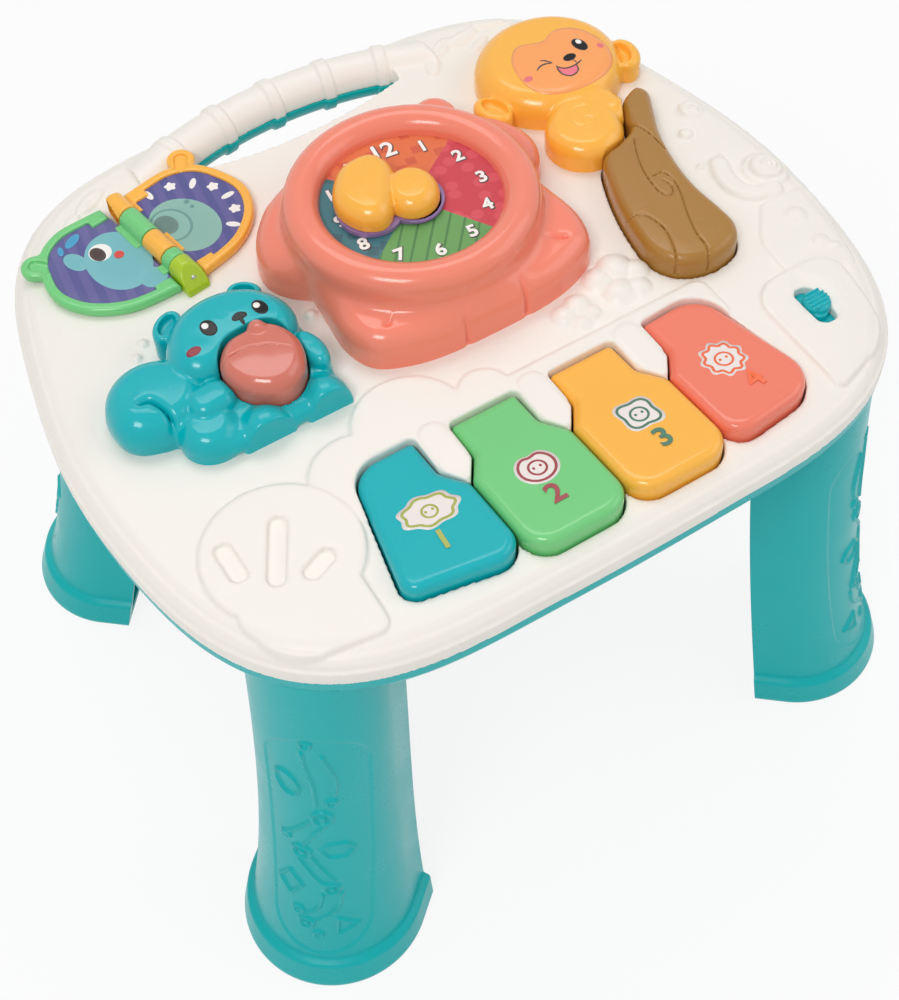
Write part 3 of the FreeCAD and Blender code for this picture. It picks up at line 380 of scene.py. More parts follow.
# Roughness from the glossiest spots of a finish to its dullest
polished, satin, soft = (0.14, 0.22), (0.25, 0.35), (0.36, 0.46)
white = plastic("satinWhite", "F4EFE7", soft, 0.05, grain=0.06, drift=0.02, glow=0.05)
teal = plastic("glossTeal", "00B4B6", (0.26, 0.36), 0.03, shine=0.25)
turquoise = plastic("glossTurquoise", "00B3BC", polished, 0.15, shine=0.3)
coral = plastic("glossCoral", "F68970", polished, 0.18)
keyCoral = plastic("keyCoral", "F47F66", polished, 0.18)
orange = plastic("glossOrange", "FFBA44", polished, 0.18)
green = plastic("glossGreen", "74CF80", polished, 0.18)
tan = plastic("glossTan", "A87830", (0.24, 0.34), 0.15)
acornPink = plastic("acornPink", "D67462", (0.12, 0.2), 0.4, glow=0.1)
lime = plastic("glossLime", "AECB1C", (0.18, 0.26))
purple = plastic("purplePlate", "8A6FA8", satin, 0.1)
black = plastic("eyeBlack", "0C0A09", (0.12, 0.2), 0.03, drift=0.0, shine=0.25)
whitePaint = plastic("whitePaint", "F7F3EE", coat=0.1, drift=0.0)
faceOrange = plastic("faceOrange", "FFA45C", (0.2, 0.3))
cheekRed = plastic("cheekRed", "D8453C", satin, 0.1, drift=0.02)
pinkPaint = plastic("pinkPaint", "F4798A", satin, 0.1, drift=0.02)
steel = plastic("plainSteel", "B9BBC0", (0.28, 0.4), 0.0, metal=1.0)
boardGreen = plastic("boardGreen", "1D6B3A", (0.3, 0.45), 0.1)
darkPlastic = plastic("darkPlastic", "1B1B1E", (0.4, 0.55), 0.0)
rubberGrey = plastic("siliconeGrey", "D8D8D4", (0.5, 0.6), 0.0)
cellBlue = plastic("cellWrap", "39404C", satin, 0.1)
inkBrown = plastic("inkBrown", "3A2320", coat=0.1, drift=0.0)
cheekDark = plastic("cheekDark", "8E1F2B", coat=0.1, drift=0.02)
cheekRose = plastic("cheekRose", "E8747E", coat=0.1, drift=0.02)
stickerWhite = plastic("stickerWhite", "EFE6E2", drift=0.01)
stickerLime = plastic("stickerLime", "A9B23F")
stickerRed = plastic("stickerRed", "9E2430")
stickerGreen = plastic("stickerGreen", "2F7358")
stickerOrange = plastic("stickerOrange", "F8662A")
cardTeal = plastic("cardTeal", "86B5A9")
cardTealDark = plastic("cardTealDark", "5F948C")
cardTealDeep = plastic("cardTealDeep", "5F7F78")
cardSky = plastic("cardSky", "6FB6BE")
cardBlue = plastic("cardBlue", "3B9CC8")


# A printed ground: stripes, squares or dots of a second colour
def printed(name, code, markCode, pattern, scale, turn, low, high):
    made = plastic(name, code, coat=0.03, drift=0.04, shine=0.2)
    nodes = made.node_tree.nodes
    skin = next(node for node in nodes if node.type == "GROUP")
    place = newNode(nodes, "TexCoord")
    mapping = newNode(nodes, "Mapping", {"Rotation": (0, 0, math.radians(turn))})
    if pattern == "stripes":
        texture = newNode(nodes, "TexWave", {"Scale": scale, "Distortion": 0.0})
    else:
        texture = newNode(nodes, "TexVoronoi", {"Scale": scale}, voronoi_dimensions="2D",
                          distance="CHEBYCHEV" if pattern == "squares" else "EUCLIDEAN")
    value = texture.outputs["Fac" if pattern == "stripes" else "Distance"]
    mask = newNode(nodes, "MapRange", {"From Min": low, "From Max": high})
    mix = newNode(nodes, "Mix", {"A": srgb(code), "B": srgb(markCode)}, data_type="RGBA")
    wire(made.node_tree, (place.outputs["Object"], mapping.inputs["Vector"]),
         (mapping.outputs["Vector"], texture.inputs["Vector"]), (value, mask.inputs["Value"]),
         (mask.outputs["Result"], mix.inputs["Factor"]), (mix.outputs["Result"], skin.inputs["Colour"]))
    return made


dialOrange = printed("dialOrange", "E06A30", "CF4F24", "squares", 95, 12, 0.24, 0.2)
dialRed = printed("dialRed", "CC2A3E", "D84452", "dots", 110, 30, 0.36, 0.26)
dialGreen = printed("dialGreen", "5F9C4C", "3A7636", "stripes", 48, 40, 0.9, 0.96)
dialBlue = printed("dialBlue", "27717C", "205863", "squares", 90, 40, 0.26, 0.2)
cardPurple = printed("cardPurple", "5B5B94", "69649C", "stripes", 40, 8, 0.4, 0.6)

print("materials done")


# Outlines that several pieces share

bodyShape = {"reach": 180, "points": 160, "cosines": ((2, 0.055), (4, -0.068), (8, 0.010)),
             "sines": ((1, -0.041), (3, -0.013))}


def bodyReach(angle):
    share = 1
    for count, size in bodyShape["cosines"]:
        share += size * math.cos(count * angle)
    for count, size in bodyShape["sines"]:
        share += size * math.sin(count * angle)
    return bodyShape["reach"] * share


bodyAngles = [2 * math.pi * i / bodyShape["points"] for i in range(bodyShape["points"])]
bodyOutline = [(bodyReach(a) * math.cos(a), bodyReach(a) * math.sin(a)) for a in bodyAngles]

trunkOutline = curvy([
    (103, 12), (97, 1), (91, -16), (87, -34), (86, -48), (90, -58), (98, -64), (109, -66),
    (121, -63), (127, -55), (127.5, -44), (126.5, -27), (128, -12), (131, 2), (135, 14),
    (141, 26), (145.5, 36), (142.5, 42), (137, 41), (131, 37), (127, 30), (123, 20), (113, 15),
])
acornOutline = curvy([
    (-88, 1.2), (-98, -0.5), (-105, -8.5), (-106, -18), (-101, -28), (-92, -34.5), (-82, -34),
    (-74, -27), (-70.5, -16), (-73, -5.5), (-79, 0.5),
])

keys = {
    "pitch": 49.0, "firstEdge": -43.7, "front": -152.0, "back": -75.0, "neckEnd": -94.0,
    "shoulder": -106.0, "fingerHalf": 7.6, "gap": 0.9, "riseFront": 9.0, "riseBack": 1.8,
    "soft": 4.2, "wall": 9.0,
}


# Points round (x, y, radius) corners, each one an arc
def roundedLoop(corners):
    made = []
    count = len(corners)
    for i in range(count):
        here = Vector(corners[i][:2])
        a = (Vector(corners[i - 1][:2]) - here).normalized()
        b = (Vector(corners[(i + 1) % count][:2]) - here).normalized()
        half = a.angle(b) / 2
        r = corners[i][2]
        centre = here + (a + b).normalized() * (r / math.sin(half))
        start = here + a * (r / math.tan(half)) - centre
        end = here + b * (r / math.tan(half)) - centre
        sweep = start.angle_signed(end)
        for j in range(9):
            made.append(spun(centre.x, centre.y, start.x, start.y, -sweep * j / 8))
    return made


def keyLoop(index):
    k = keys
    left = k["firstEdge"] + (index - 1) * k["pitch"] + k["gap"] / 2
    right = left + k["pitch"] - k["gap"]
    neck = k["fingerHalf"] + k["gap"] / 2
    back, front, shoulder, neckEnd = k["back"], k["front"], k["shoulder"], k["neckEnd"]
    if index == 0:
        return roundedLoop([(left + 10.5, back + 2, 15), (right - neck, back + 2, 2.5),
                            (right - neck, neckEnd, 6), (right, shoulder, 5), (right, front + 3, 11),
                            (left - 3.5, front + 12, 7)])
    if index == 3:
        return roundedLoop([(left + neck, back + 1, 2.5), (right - 9.5, back + 3, 15),
                            (right + 2.5, front + 8, 17), (left, front + 2, 11),
                            (left, shoulder, 5), (left + neck, neckEnd, 6)])
    return roundedLoop([(left + neck, back, 2.5), (right - neck, back, 2.5), (right - neck, neckEnd, 6),
                        (right, shoulder, 5), (right, front, 13), (left, front, 13),
                        (left, shoulder, 5), (left + neck, neckEnd, 6)])


keyLoops = [keyLoop(i) for i in range(4)]


# Deck and handle

deck = {
    "step": 0.8, "rimLow": -13.0,
    "rimProfile": ((0, -7.2), (0.8, -7.0), (1.2, -6.6), (1.6, -6.2), (2.4, -5.0), (5, -2.6), (10, -0.8),
                   (18, 0)),
    "grooveInset": 6.5, "grooveWidth": 0.7, "grooveDepth": 0.35,
    "gapFront": 112, "gapHalf": 58, "gapBow": 8, "gapBack": 199, "gapFlare": 12,
    "handleArc": 182.5, "handleCentre": -35.5, "handleRadius": 11.0, "handleLevel": -6.0, "handleHalf": 80,
    "handleBlend": 2.0, "ringPitch": 29.0, "ringHalf": 2.6, "ringProud": 1.3, "ringEdge": 0.8,
    "buttonGap": 0.7, "switchSlot": (131, -107, 5.0, 11.5, 4.9), "slotEdge": 0.6,
}


# The finger gap between the deck and the handle
def gapOutline():
    d = deck
    bow = []
    for i in range(17):
        x = -d["gapHalf"] + 2 * d["gapHalf"] * i / 16
        bow.append((x, d["gapFront"] + d["gapBow"] * (x / d["gapHalf"]) ** 2))
    corner = d["gapHalf"] + d["gapFlare"]
    return bow + [(corner, d["gapBack"]), (-corner, d["gapBack"])]


# Height of a raised area, its top edge rounded
def raised(d, rise, edge):
    t = np.clip((d + edge) / edge, 0, 1)
    return np.where(d < 0, rise * np.sqrt(np.maximum(1 - t * t, 0)), 0)


def handleField(s):
    d = deck
    along = np.arctan2(s.x, s.y - d["handleCentre"]) * d["handleArc"]
    radius = np.full(along.shape, d["handleRadius"], np.float32)
    for i in (-2, -1, 0, 1, 2):
        off = np.abs(along - i * d["ringPitch"])
        radius = radius + d["ringProud"] * np.clip((d["ringHalf"] + d["ringEdge"] - off) / d["ringEdge"], 0, 1)
    across = np.hypot(s.x, s.y - d["handleCentre"]) - d["handleArc"]
    tube = np.hypot(across, s.z - d["handleLevel"]) - radius
    return np.maximum(tube, np.abs(s.x) - d["handleHalf"])


# Places and sizes of what is moulded into the deck. Bumps end in their rise; a rise that stands
# alone comes with the width of its rounded edge.
reliefs = {
    "clouds": ((-79, -78, 22.5), (-48, -66, 26), (-13, -68, 12.5)), "cloudFoot": (20, -79, 80, 13, 6),
    "cloudRise": (2.6, 1.6), "speaker": (-124, -93, 34),
    "pads": (
        (((-160, -100, 14), (-102, -100, 2), (-104, -148, 6), (-146, -140, 24)), 3.1, 1.8),
        (((111, -84, 16), (158, -84, 12), (150, -136, 26), (110, -150, 4)), 2.9, 1.8),
        (((149, -45, 8), (178, -46, 3), (164, -96, 4), (132, -90, 3), (134, -64, 24)), 2.2, 1.5),
    ),
    "finger": (-86.5, 17.5, 7.4), "fingerRise": (3.2, 2.4),
    "bush": ((62, -43, 8.5, 5), (72, -41, 9.5, 5.5), (79.5, -47, 7, 4.5), (66, -53, 9, 5), (75, -55.5, 6.5, 4),
             (38, -52, 7, 4.5), (46, -50, 7, 5), (49, -56.5, 5, 4), (42, -59, 6, 3.5)),
    "snail": ((165, -29, 12.5, 7.0), (149, -14, 5, 4), (141.5, -11, 2, 2.6), (152.5, -11, 2, 2.6)),
    "snailBody": ((149, -15), (146, -24), (147, -33), (152, -39), (160, -41)),
    "snailWidth": 5.2, "snailRise": (3.8, 3.6),
    "whorls": ((165, -29, 8.2), (166, -29.5, 4.6), (166.5, -30, 1.6), (161, 23, 6.4), (162, 22, 3.0),
               (149, 10.5, 4.0)),
    "whorlDepth": 1.3, "whorlWidth": 0.9,
    "roses": ((161, 23, 9.6, 3.8), (149, 10.5, 6.8, 3.2)),
    "mushroom": ((158, -60, 7.5, 4.0), (157, -79, 6.5, 3.8), (161, -84, 2.5, 3.8)),
    "leaves": ((86, 127, 9, 4.2, 35), (99, 128, 10, 4.6, 12), (116, 131, 10, 4.4, -12), (76, 118, 8, 4, 60),
               (104, 119, 7, 3.2, 30), (-104, 128, 10, 4.5, 30), (-118, 118, 9, 4, 50), (-132, 104, 9, 4, 60)),
    "leafRise": (2.6, 2.4), "veinWidth": 0.6, "veinDepth": 0.5,
    "blocks": ((-128, 30, 3, 3), (-122, 36, 3, 3), (-53, 10, 3.5, 3)),
    "slots": ((-143.5, -86.5, 21.0, 90.0), (-125.5, -91.5, 34.0, 60.0), (-114.5, -106.0, 17.0, 22.0)),
    "slotHalf": 4.2, "slotEdge": 0.7, "slotDepth": 2.4,
    "dish": (134.5, -104, 8.5, 15.5), "dishDepth": 0.8, "dishEdge": 3.0,
}


# Height of a low round bump
def capHeight(s, x, y, r, rise):
    ballRadius = (r * r + rise * rise) / (2 * rise)
    d2 = (s.x - x) ** 2 + (s.y - y) ** 2
    return np.maximum(np.sqrt(np.maximum(ballRadius ** 2 - d2, 0)) - ballRadius + rise, 0)


# Height of the deck's upper face with everything that is moulded into it
def deckHeightMap(s, edge):
    q = reliefs
    inset = -edge
    xs, zs = zip(*deck["rimProfile"])
    top = np.interp(inset, xs, zs).astype(np.float32)
    groove = np.exp(-((inset - deck["grooveInset"]) / deck["grooveWidth"]) ** 2) * deck["grooveDepth"]
    cloud = block(s, *q["cloudFoot"])
    for x, y, r in q["clouds"]:
        cloud = np.minimum(cloud, circle(s, x, y, r))
    up = np.maximum(np.zeros_like(top), raised(cloud, *q["cloudRise"]))
    for i, (corners, rise, soft) in enumerate(q["pads"]):
        pad = polygon(s, roundedLoop(corners))
        if i == 0:  # the speaker's corner also has a round part
            pad = np.minimum(circle(s, *q["speaker"]), pad)
        up = np.maximum(up, raised(pad, rise, soft))
    y, half, r = q["finger"]
    for i in range(3):
        finger = block(s, keys["firstEdge"] + i * keys["pitch"], y, keys["fingerHalf"], half, r)
        up = np.maximum(up, raised(finger, *q["fingerRise"]))
    for group in ("bush", "snail", "roses", "mushroom", "blocks"):
        for spot in q[group]:
            up = np.maximum(up, capHeight(s, *spot))
    tail = stroke(s, curvy(q["snailBody"], 4, False), q["snailWidth"])
    up = np.maximum(up, raised(tail, *q["snailRise"]))
    for x, y, a, b, turn in q["leaves"]:
        leaf = oval(s, x, y, a, b, turn)
        vein = np.exp(-(turned(s, x, y, turn)[1] / q["veinWidth"]) ** 2) * q["veinDepth"]
        up = np.maximum(up, raised(leaf, *q["leafRise"]) - np.where(leaf < -0.5, vein, 0))
    for whorl in q["whorls"]:
        up = up - q["whorlDepth"] * np.exp(-(circle(s, *whorl) / q["whorlWidth"]) ** 2)
    sink = np.zeros_like(top)
    for x, y, length, turn in q["slots"]:
        slot = block(s, x, y, length / 2, q["slotHalf"], q["slotHalf"] - 0.01, turn)
        sink = np.maximum(sink, np.clip(-slot / q["slotEdge"], 0, 1) * q["slotDepth"])
    dish = oval(s, *q["dish"])
    sink = np.maximum(sink, q["dishDepth"] * np.clip(-dish / q["dishEdge"], 0, 1))
    return top + up - groove - sink


def deckField(s):
    d = deck
    edge = polygon(s, bodyOutline)
    body = np.maximum(np.maximum(edge, s.z - deckHeightMap(s, edge)), d["rimLow"] - s.z)
    body = np.maximum(body, -polygon(s, gapOutline()))
    body = join(body, np.maximum(handleField(s), d["handleLevel"] - s.z), d["handleBlend"])
    for loop in keyLoops:
        body = np.maximum(body, -(polygon(s, loop) - keys["gap"]))
    for loop in (trunkOutline, acornOutline):
        body = np.maximum(body, -(polygon(s, loop) - d["buttonGap"]))
    return carve(body, slab(s, block(s, *d["switchSlot"]), -5, 20, 0.1), d["slotEdge"])


solid("deck", ((-184, 184), (-169, 164), (-15, 8)), deck["step"], deckField, "base", white, ("top_shell",))
print("deck done")


# Legs

leg = {
    "angleTop": 42.5, "angleFoot": 40.8, "radiusTop": 30.0, "radiusFoot": 43.0, "armTop": 20.0,
    "armFoot": 16.0, "wall": 3.0, "rimGap": 2.0, "footDistance": 188.6, "bootHeight": 17.0,
    "bootEdge": 2.5, "bootProud": 3.2, "footEdge": 2.5, "footInset": 1.2, "topLevel": -21.5,
    "rows": 330, "turns": 190, "armSteps": 14, "bevel": 0.6, "bevelAngle": 50,
    "plateGap": 0.4, "plateLow": 0.3, "plateTop": 3.0, "plateTurns": 40,
}


# The leg's centre, outward direction, radius and arm length at a share of the way down
def legPlace(sideX, sideY, share):
    k = leg
    topDistance = bodyReach(sideY * math.radians(k["angleTop"])) - k["rimGap"] - k["radiusTop"]
    sweep = share ** 1.5
    turn = math.radians(k["angleTop"] + (k["angleFoot"] - k["angleTop"]) * sweep)
    distance = topDistance + (k["footDistance"] - topDistance) * sweep
    radius = k["radiusTop"] + (k["radiusFoot"] - k["radiusTop"]) * (0.35 * share + 0.65 * share ** 4)
    arm = k["armTop"] + (k["armFoot"] - k["armTop"]) * share
    out = Vector((sideX * math.cos(turn), sideY * math.sin(turn)))
    return out * distance, out, radius, arm


# The leg's moulded pattern, seen flat: arc length from the leg's middle, and height above the floor
legMotif = {
    "panel": (-0.5, 107.0, 25.5, 86.0, 25.4), "sink": 0.7, "panelEdge": 0.9, "ridge": 1.3, "lineHalf": 0.75,
    "ribbonHalf": 0.8, "knotHalf": 0.9, "lineEdge": 0.6, "shift": 6.5,
    "rings": ((-14.2, 155.0, 5.2, 8.6, 20), (-3.7, 189.0, 2.2, 2.2, 0)),
    "shapes": (((7.5, 105.0), 8.0, 6.2, 6), ((-16.0, 73.0), 6.5, 9.5, 4), ((11.0, 43.0), 7.0, 7.5, 3)),
    "ribbons": (
        ((-6, 182), (-4.5, 170), (-2, 156), (-1.5, 142)), ((3, 180), (6, 170), (8, 160), (7, 150)),
        ((-3, 131), (-10, 121), (-18, 112)), ((3, 127), (-3, 118), (-8, 108)),
        ((-12, 97), (-8, 90), (-2, 80), (3, 77)), ((-5, 99), (0, 90), (6, 80)),
        ((0, 68), (-2, 58), (-9, 50)), ((9, 70), (7, 58), (-4, 46)),
    ),
    "knots": ((1.0, 132.0, 5.6), (5.5, 144.0, 3.2), (-9.5, 102.0, 5.4), (-17.0, 111.0, 3.0), (4.5, 74.0, 4.6),
              (-12.0, 53.0, 3.4), (-8.0, 44.0, 4.4), (-2.0, 36.0, 3.2)),
}


# Height of the moulded pattern at arc lengths from the leg's middle and at a height
def legRelief(around, height):
    f = SimpleNamespace(x=around, y=height)
    m = legMotif
    lines = [np.abs(oval(f, *ring)) - m["lineHalf"] for ring in m["rings"]]
    for (x, y), halfWide, halfHigh, sides in m["shapes"]:
        angles = [2 * math.pi * i / sides for i in range(sides)]
        loop = [(x + halfWide * math.cos(t), y + halfHigh * math.sin(t)) for t in angles]
        lines.append(np.abs(polygon(f, loop)) - m["lineHalf"])
    for path in m["ribbons"]:
        lines.append(stroke(f, curvy(path, 4, False), m["ribbonHalf"]))
    for x, y, size in m["knots"]:
        lines.append(np.abs(circle(f, x, y, size - 1)) - m["knotHalf"])
        lines.append(circle(f, x, y, size * 0.35))
    line = np.minimum.reduce(np.broadcast_arrays(*lines))
    sunk = -m["sink"] * np.clip(-block(f, *m["panel"]) / m["panelEdge"], 0, 1)
    return sunk + m["ridge"] * np.clip(-line / m["lineEdge"] + 0.4, 0, 1)


# How far the leg's outside stands out from its plain line: the boot, and the rounded edge at the floor
def bootReach(height):
    k = leg
    t = max(0.0, min(1.0, (k["bootHeight"] - height) / k["bootEdge"]))
    boot = k["bootProud"] * (1 - (1 - t) ** 2) ** 0.5 if height < k["bootHeight"] else 0.0
    if height < k["footEdge"]:
        boot -= k["footInset"] * (1 - (1 - ((k["footEdge"] - height) / k["footEdge"])) ** 0.5)
    return boot


# One level loop of the leg's channel, at a share of the way down
def legRing(sideX, sideY, share, steps, angles):
    k = leg
    z = k["topLevel"] + (-deckHeight - k["topLevel"]) * share
    height = z + deckHeight
    centre, out, radius, arm = legPlace(sideX, sideY, share)
    across = Vector((-out.y, out.x))
    outer, inner = radius + bootReach(height), radius - k["wall"]
    outside = ([(-arm * t, outer) for t in steps[:-1]] + ringPoints(outer, outer, angles)
               + [(-arm * t, -outer) for t in steps[::-1][1:]])
    lengths = ([radius * math.pi / 2 + arm * t for t in steps[:-1]] + [radius * a for a in angles]
               + [-radius * math.pi / 2 - arm * t for t in steps[::-1][1:]])
    mirror = 1 if sideX * sideY > 0 else -1
    around = mirror * np.array(lengths, np.float32) - legMotif["shift"]
    relief = legRelief(around, np.full(len(lengths), height, np.float32))
    if height < k["bootHeight"] + 1:
        relief = relief * 0
    loop = []
    for (u, v), lift in zip(outside, relief):
        size = math.hypot(max(u, 0), v)
        nu, nv = max(u, 0) / size, v / size
        loop.append(centre + out * (u + nu * float(lift)) + across * (v + nv * float(lift)))
    inside = ([(-arm * t, -inner) for t in steps] + ringPoints(inner, inner, angles[::-1][1:-1])
              + [(-arm * t, inner) for t in steps[::-1]])
    loop += [centre + out * u + across * v for u, v in inside]
    return [(p.x, p.y, z) for p in loop]


def makeLeg(name, sideX, sideY):
    k = leg
    steps = np.linspace(1, 0, k["armSteps"])
    angles = np.linspace(math.pi / 2, -math.pi / 2, k["turns"])
    loops = [legRing(sideX, sideY, share, steps, angles) for share in np.linspace(0, 1, k["rows"])]
    count = len(loops[0])
    faces = []
    for row in range(len(loops) - 1):
        for j in range(count):
            a, b = row * count + j, row * count + (j + 1) % count
            faces.append((a + count, b + count, b, a))
    foot = (len(loops) - 1) * count
    faces += [tuple(range(count)), tuple(foot + j for j in reversed(range(count)))]
    piece = newMesh(name, [v for loop in loops for v in loop], faces)
    bevel = piece.modifiers.new("edge", "BEVEL")
    bevel.width = k["bevel"] * mm
    bevel.segments = 2
    bevel.angle_limit = math.radians(k["bevelAngle"])
    dress(piece, "base", teal, (name.replace("legPiece", "leg"),))


# The plate that closes a leg at the floor
def makeFootPlate(name, sideX, sideY):
    k = leg
    centre, out, radius, arm = legPlace(sideX, sideY, 1.0)
    across = Vector((-out.y, out.x))
    inner = radius - k["wall"] + k["plateGap"]
    bend = ringPoints(inner, inner, np.linspace(math.pi / 2, -math.pi / 2, k["plateTurns"]))
    ring = [centre + out * u + across * v for u, v in [(-arm, inner)] + bend + [(-arm, -inner)]]
    verts = [(p.x, p.y, -deckHeight + level) for level in (k["plateLow"], k["plateTop"]) for p in ring]
    n = len(ring)
    sides = [(i, (i + 1) % n, n + (i + 1) % n, n + i) for i in range(n)]
    plate = newMesh(name, verts, [tuple(range(n))[::-1], tuple(range(n, 2 * n))] + sides, False)
    dress(plate, "base", teal, ())


for endName, sideY in (("front", -1), ("back", 1)):
    for sideName, sideX in (("left", -1), ("right", 1)):
        legName = "legPiece_%s_%s" % (endName, sideName)
        makeLeg(legName, sideX, sideY)
        makeFootPlate(legName + "_plate", sideX, sideY)
print("legs done")


# Keys

def keyField(index):
    def field(s):
        k = keys
        slope = (k["riseFront"] - k["riseBack"]) / (k["back"] - k["front"] - 8)
        top = k["riseBack"] + (k["back"] - s.y) * slope
        r = k["soft"]
        upper = rounded(polygon(s, keyLoops[index]) + r, (s.z - top) + r, r)
        return np.maximum(upper, -k["wall"] - s.z)
    return field


for i, (slot, finish) in enumerate((("turquoise", turquoise), ("green", green), ("orange", orange),
                                    ("coral", keyCoral))):
    xs = [p[0] for p in keyLoops[i]]
    solid("keyCap_%d" % (i + 1), ((min(xs) - 2, max(xs) + 2), (-155, -70), (-10, 12)), 0.6, keyField(i),
          "key_%d" % (i + 1), finish, ("key_%d" % (i + 1),))
print("keys done")


# Figures on the deck

# A flat shape given height, with round shoulders and a gently domed top
def softTop(s, d, low, high, r, dome):
    flat = np.maximum(slab(s, d, low - 2 * r, high, r), low - s.z)
    reach = np.clip(-d / (r * 2.2), 0, 1)
    return np.maximum(flat, s.z - (high - dome * (1 - reach) ** 2))


squirrel = {
    "step": 0.55,
    "outline": [
        (-155, -5), (-151, -15), (-143, -21), (-135, -24), (-131, -33), (-123, -40), (-112, -42),
        (-88, -42.3), (-68, -42), (-62, -37), (-62.5, -28), (-61, -15), (-62.5, 3), (-68, 17),
        (-79, 27), (-93, 31), (-108, 26), (-119, 14), (-132, 18), (-147, 12), (-154, 3),
    ],
    "front": -42.3, "baseTop": 11.5, "headTop": 25.0, "tailTop": 19.0, "haunchTop": 15.0,
    "tail": (-133.5, -3, 21.5, 20.2), "tailSwell": (-144, -9, 7, 11, 12, 12),
    "curl": ((-141, -7), (-137, -8), (-134.6, -13), (-133.6, -19), (-134.4, -25)),
    "haunch": (-121, -27, 13.2), "belly": (-90, -17, 2, 27, 22, 14), "crown": (-92.5, 11.5, 25.5, 18.5),
    "cheeks": ((-108.5, 2.5, 13.6), (-77, 3.5, 13.6)), "paws": ((-100.5, 12.4), (-72, 11.0)),
    "ears": ((-112.1, 27.5, 9.0, 6.0, 42), (-75.3, 27.0, 7.8, 5.6, -36)), "earTop": 16.5,
    "arms": (((-115, -18.5, 10.8, 8.6, 7.5, 6), 19.5), ((-66.6, -17.5, 5.8, 11, 4), 18.0)),
    "acornGap": 0.6,
}


def squirrelField(s):
    q = squirrel
    base = slab(s, polygon(s, curvy(q["outline"], 4)), -0.5, q["baseTop"], 6.5)
    tail = softTop(s, oval(s, *q["tail"]), -0.5, q["tailTop"], 11, 1.0)
    tail = join(tail, ball(s, *q["tailSwell"]), 3)
    tail = carve(tail, slab(s, stroke(s, curvy(q["curl"], 5, False), 0.2), 7, 30, 0.4), 4.5)
    face = oval(s, *q["crown"])
    for cheek in q["cheeks"]:
        face = join(face, circle(s, *cheek), 8)
    whole = join(base, softTop(s, circle(s, *q["haunch"]), -0.5, q["haunchTop"], 9, 0.8), 2.0)
    whole = join(join(whole, tail, 2.0), ball(s, *q["belly"]), 3.0)
    for x, y, a, b, turn in q["ears"]:
        ear = slab(s, oval(s, x, y, a, b, turn), -0.5, q["earTop"], 3.0)
        dent = slab(s, oval(s, x, y, a - 3.2, b - 2.8, turn), q["earTop"] - 4, 30, 1.5)
        whole = join(whole, carve(ear, dent, 1.5), 1.2)
    whole = join(whole, softTop(s, face, -0.5, q["headTop"], 12, 1.6), 1.6)
    (left, leftTop), (right, rightTop) = q["arms"]
    whole = join(whole, softTop(s, block(s, *left), -0.5, leftTop, 7, 0.8), 1.6)
    whole = join(whole, softTop(s, oval(s, *right), -0.5, rightTop, 5, 0.5), 1.4)
    for x, half in q["paws"]:
        whole = join(whole, ball(s, x, -38, 1.5, half, 12.5, 14.5), 1.5)
    whole = within(whole, q["front"] - s.y, 1.2)
    whole = np.maximum(whole, q["acornGap"] - polygon(s, acornOutline))
    return np.maximum(whole, -s.z)


solid("squirrelFigure", ((-158, -58), (-45, 36), (-1, 28)), squirrel["step"], squirrelField, "base", turquoise,
      ("squirrel",))

acorn = {
    "step": 0.45, "top": 26.0, "shoulder": 8.0, "stem": (-83.5, -3.0, 22.5, 4.4, 5.2, 4.8),
    "capLine": ((-105, -11), (-99.5, -10.6), (-91.7, -11), (-84, -14.5), (-77.5, -20.3)),
}


def acornField(s):
    q = acorn
    body = softTop(s, polygon(s, acornOutline), -8, q["top"], q["shoulder"], 1.6)
    body = join(body, within(ball(s, *q["stem"]), polygon(s, acornOutline), 0.5), 1.0)
    return carve(body, slab(s, stroke(s, q["capLine"], 0.15), 14, 40, 0.1) + 0.1, 0.9)


solid("acornCap", ((-110, -66), (-39, 8), (-9, 28)), acorn["step"], acornField, "acorn", acornPink,
      ("acorn_button",))

monkey = {
    "step": 0.6, "headTop": 18.0, "earTop": 13.0, "armTop": 15.4, "head": (116.5, 78, 36, 34),
    "elbow": (105.6, 31.5, 18.5), "upperArm": (115.5, 43, 16, 12), "armEnd": (125, 36, 7.5, 8),
    "ears": ((77.5, 66.0, 7.6, 10.5, 15, 1), (151.0, 64.0, 7.6, 10.5, -15, -1)),
    "trunkGap": 0.7,
    "armSwirl": ((112, 41), (106, 42), (101.5, 37), (102.5, 30.5), (107.5, 28.5), (110.5, 32), (107.5, 35)),
}


def monkeyField(s):
    q = monkey
    head = softTop(s, oval(s, *q["head"]), -0.5, q["headTop"], 12, 1.2)
    arm = join(join(circle(s, *q["elbow"]), oval(s, *q["upperArm"]), 8), oval(s, *q["armEnd"]), 3)
    arm = softTop(s, arm, -0.5, q["armTop"], 8, 0.8)
    swirl = stroke(s, curvy(q["armSwirl"], 5, False), 0.2)
    whole = join(head, carve(arm, slab(s, swirl, q["armTop"] - 0.6, 30, 0.1), 0.7), 1.8)
    for x, y, a, b, turn, side in q["ears"]:
        ear = slab(s, oval(s, x, y, a, b, turn), -0.5, q["earTop"], 3.4)
        dent = slab(s, oval(s, x + side * 1.6, y + 0.6, a - 3.4, b - 3.4, turn), q["earTop"] - 4.5, 30, 2.0)
        whole = join(whole, carve(ear, dent, 2.0), 1.6)
    whole = np.maximum(whole, q["trunkGap"] - polygon(s, trunkOutline))
    return np.maximum(whole, -s.z)


solid("monkeyFigure", ((66, 161), (10, 114), (-1, 20)), monkey["step"], monkeyField, "base", orange,
      ("monkey",))

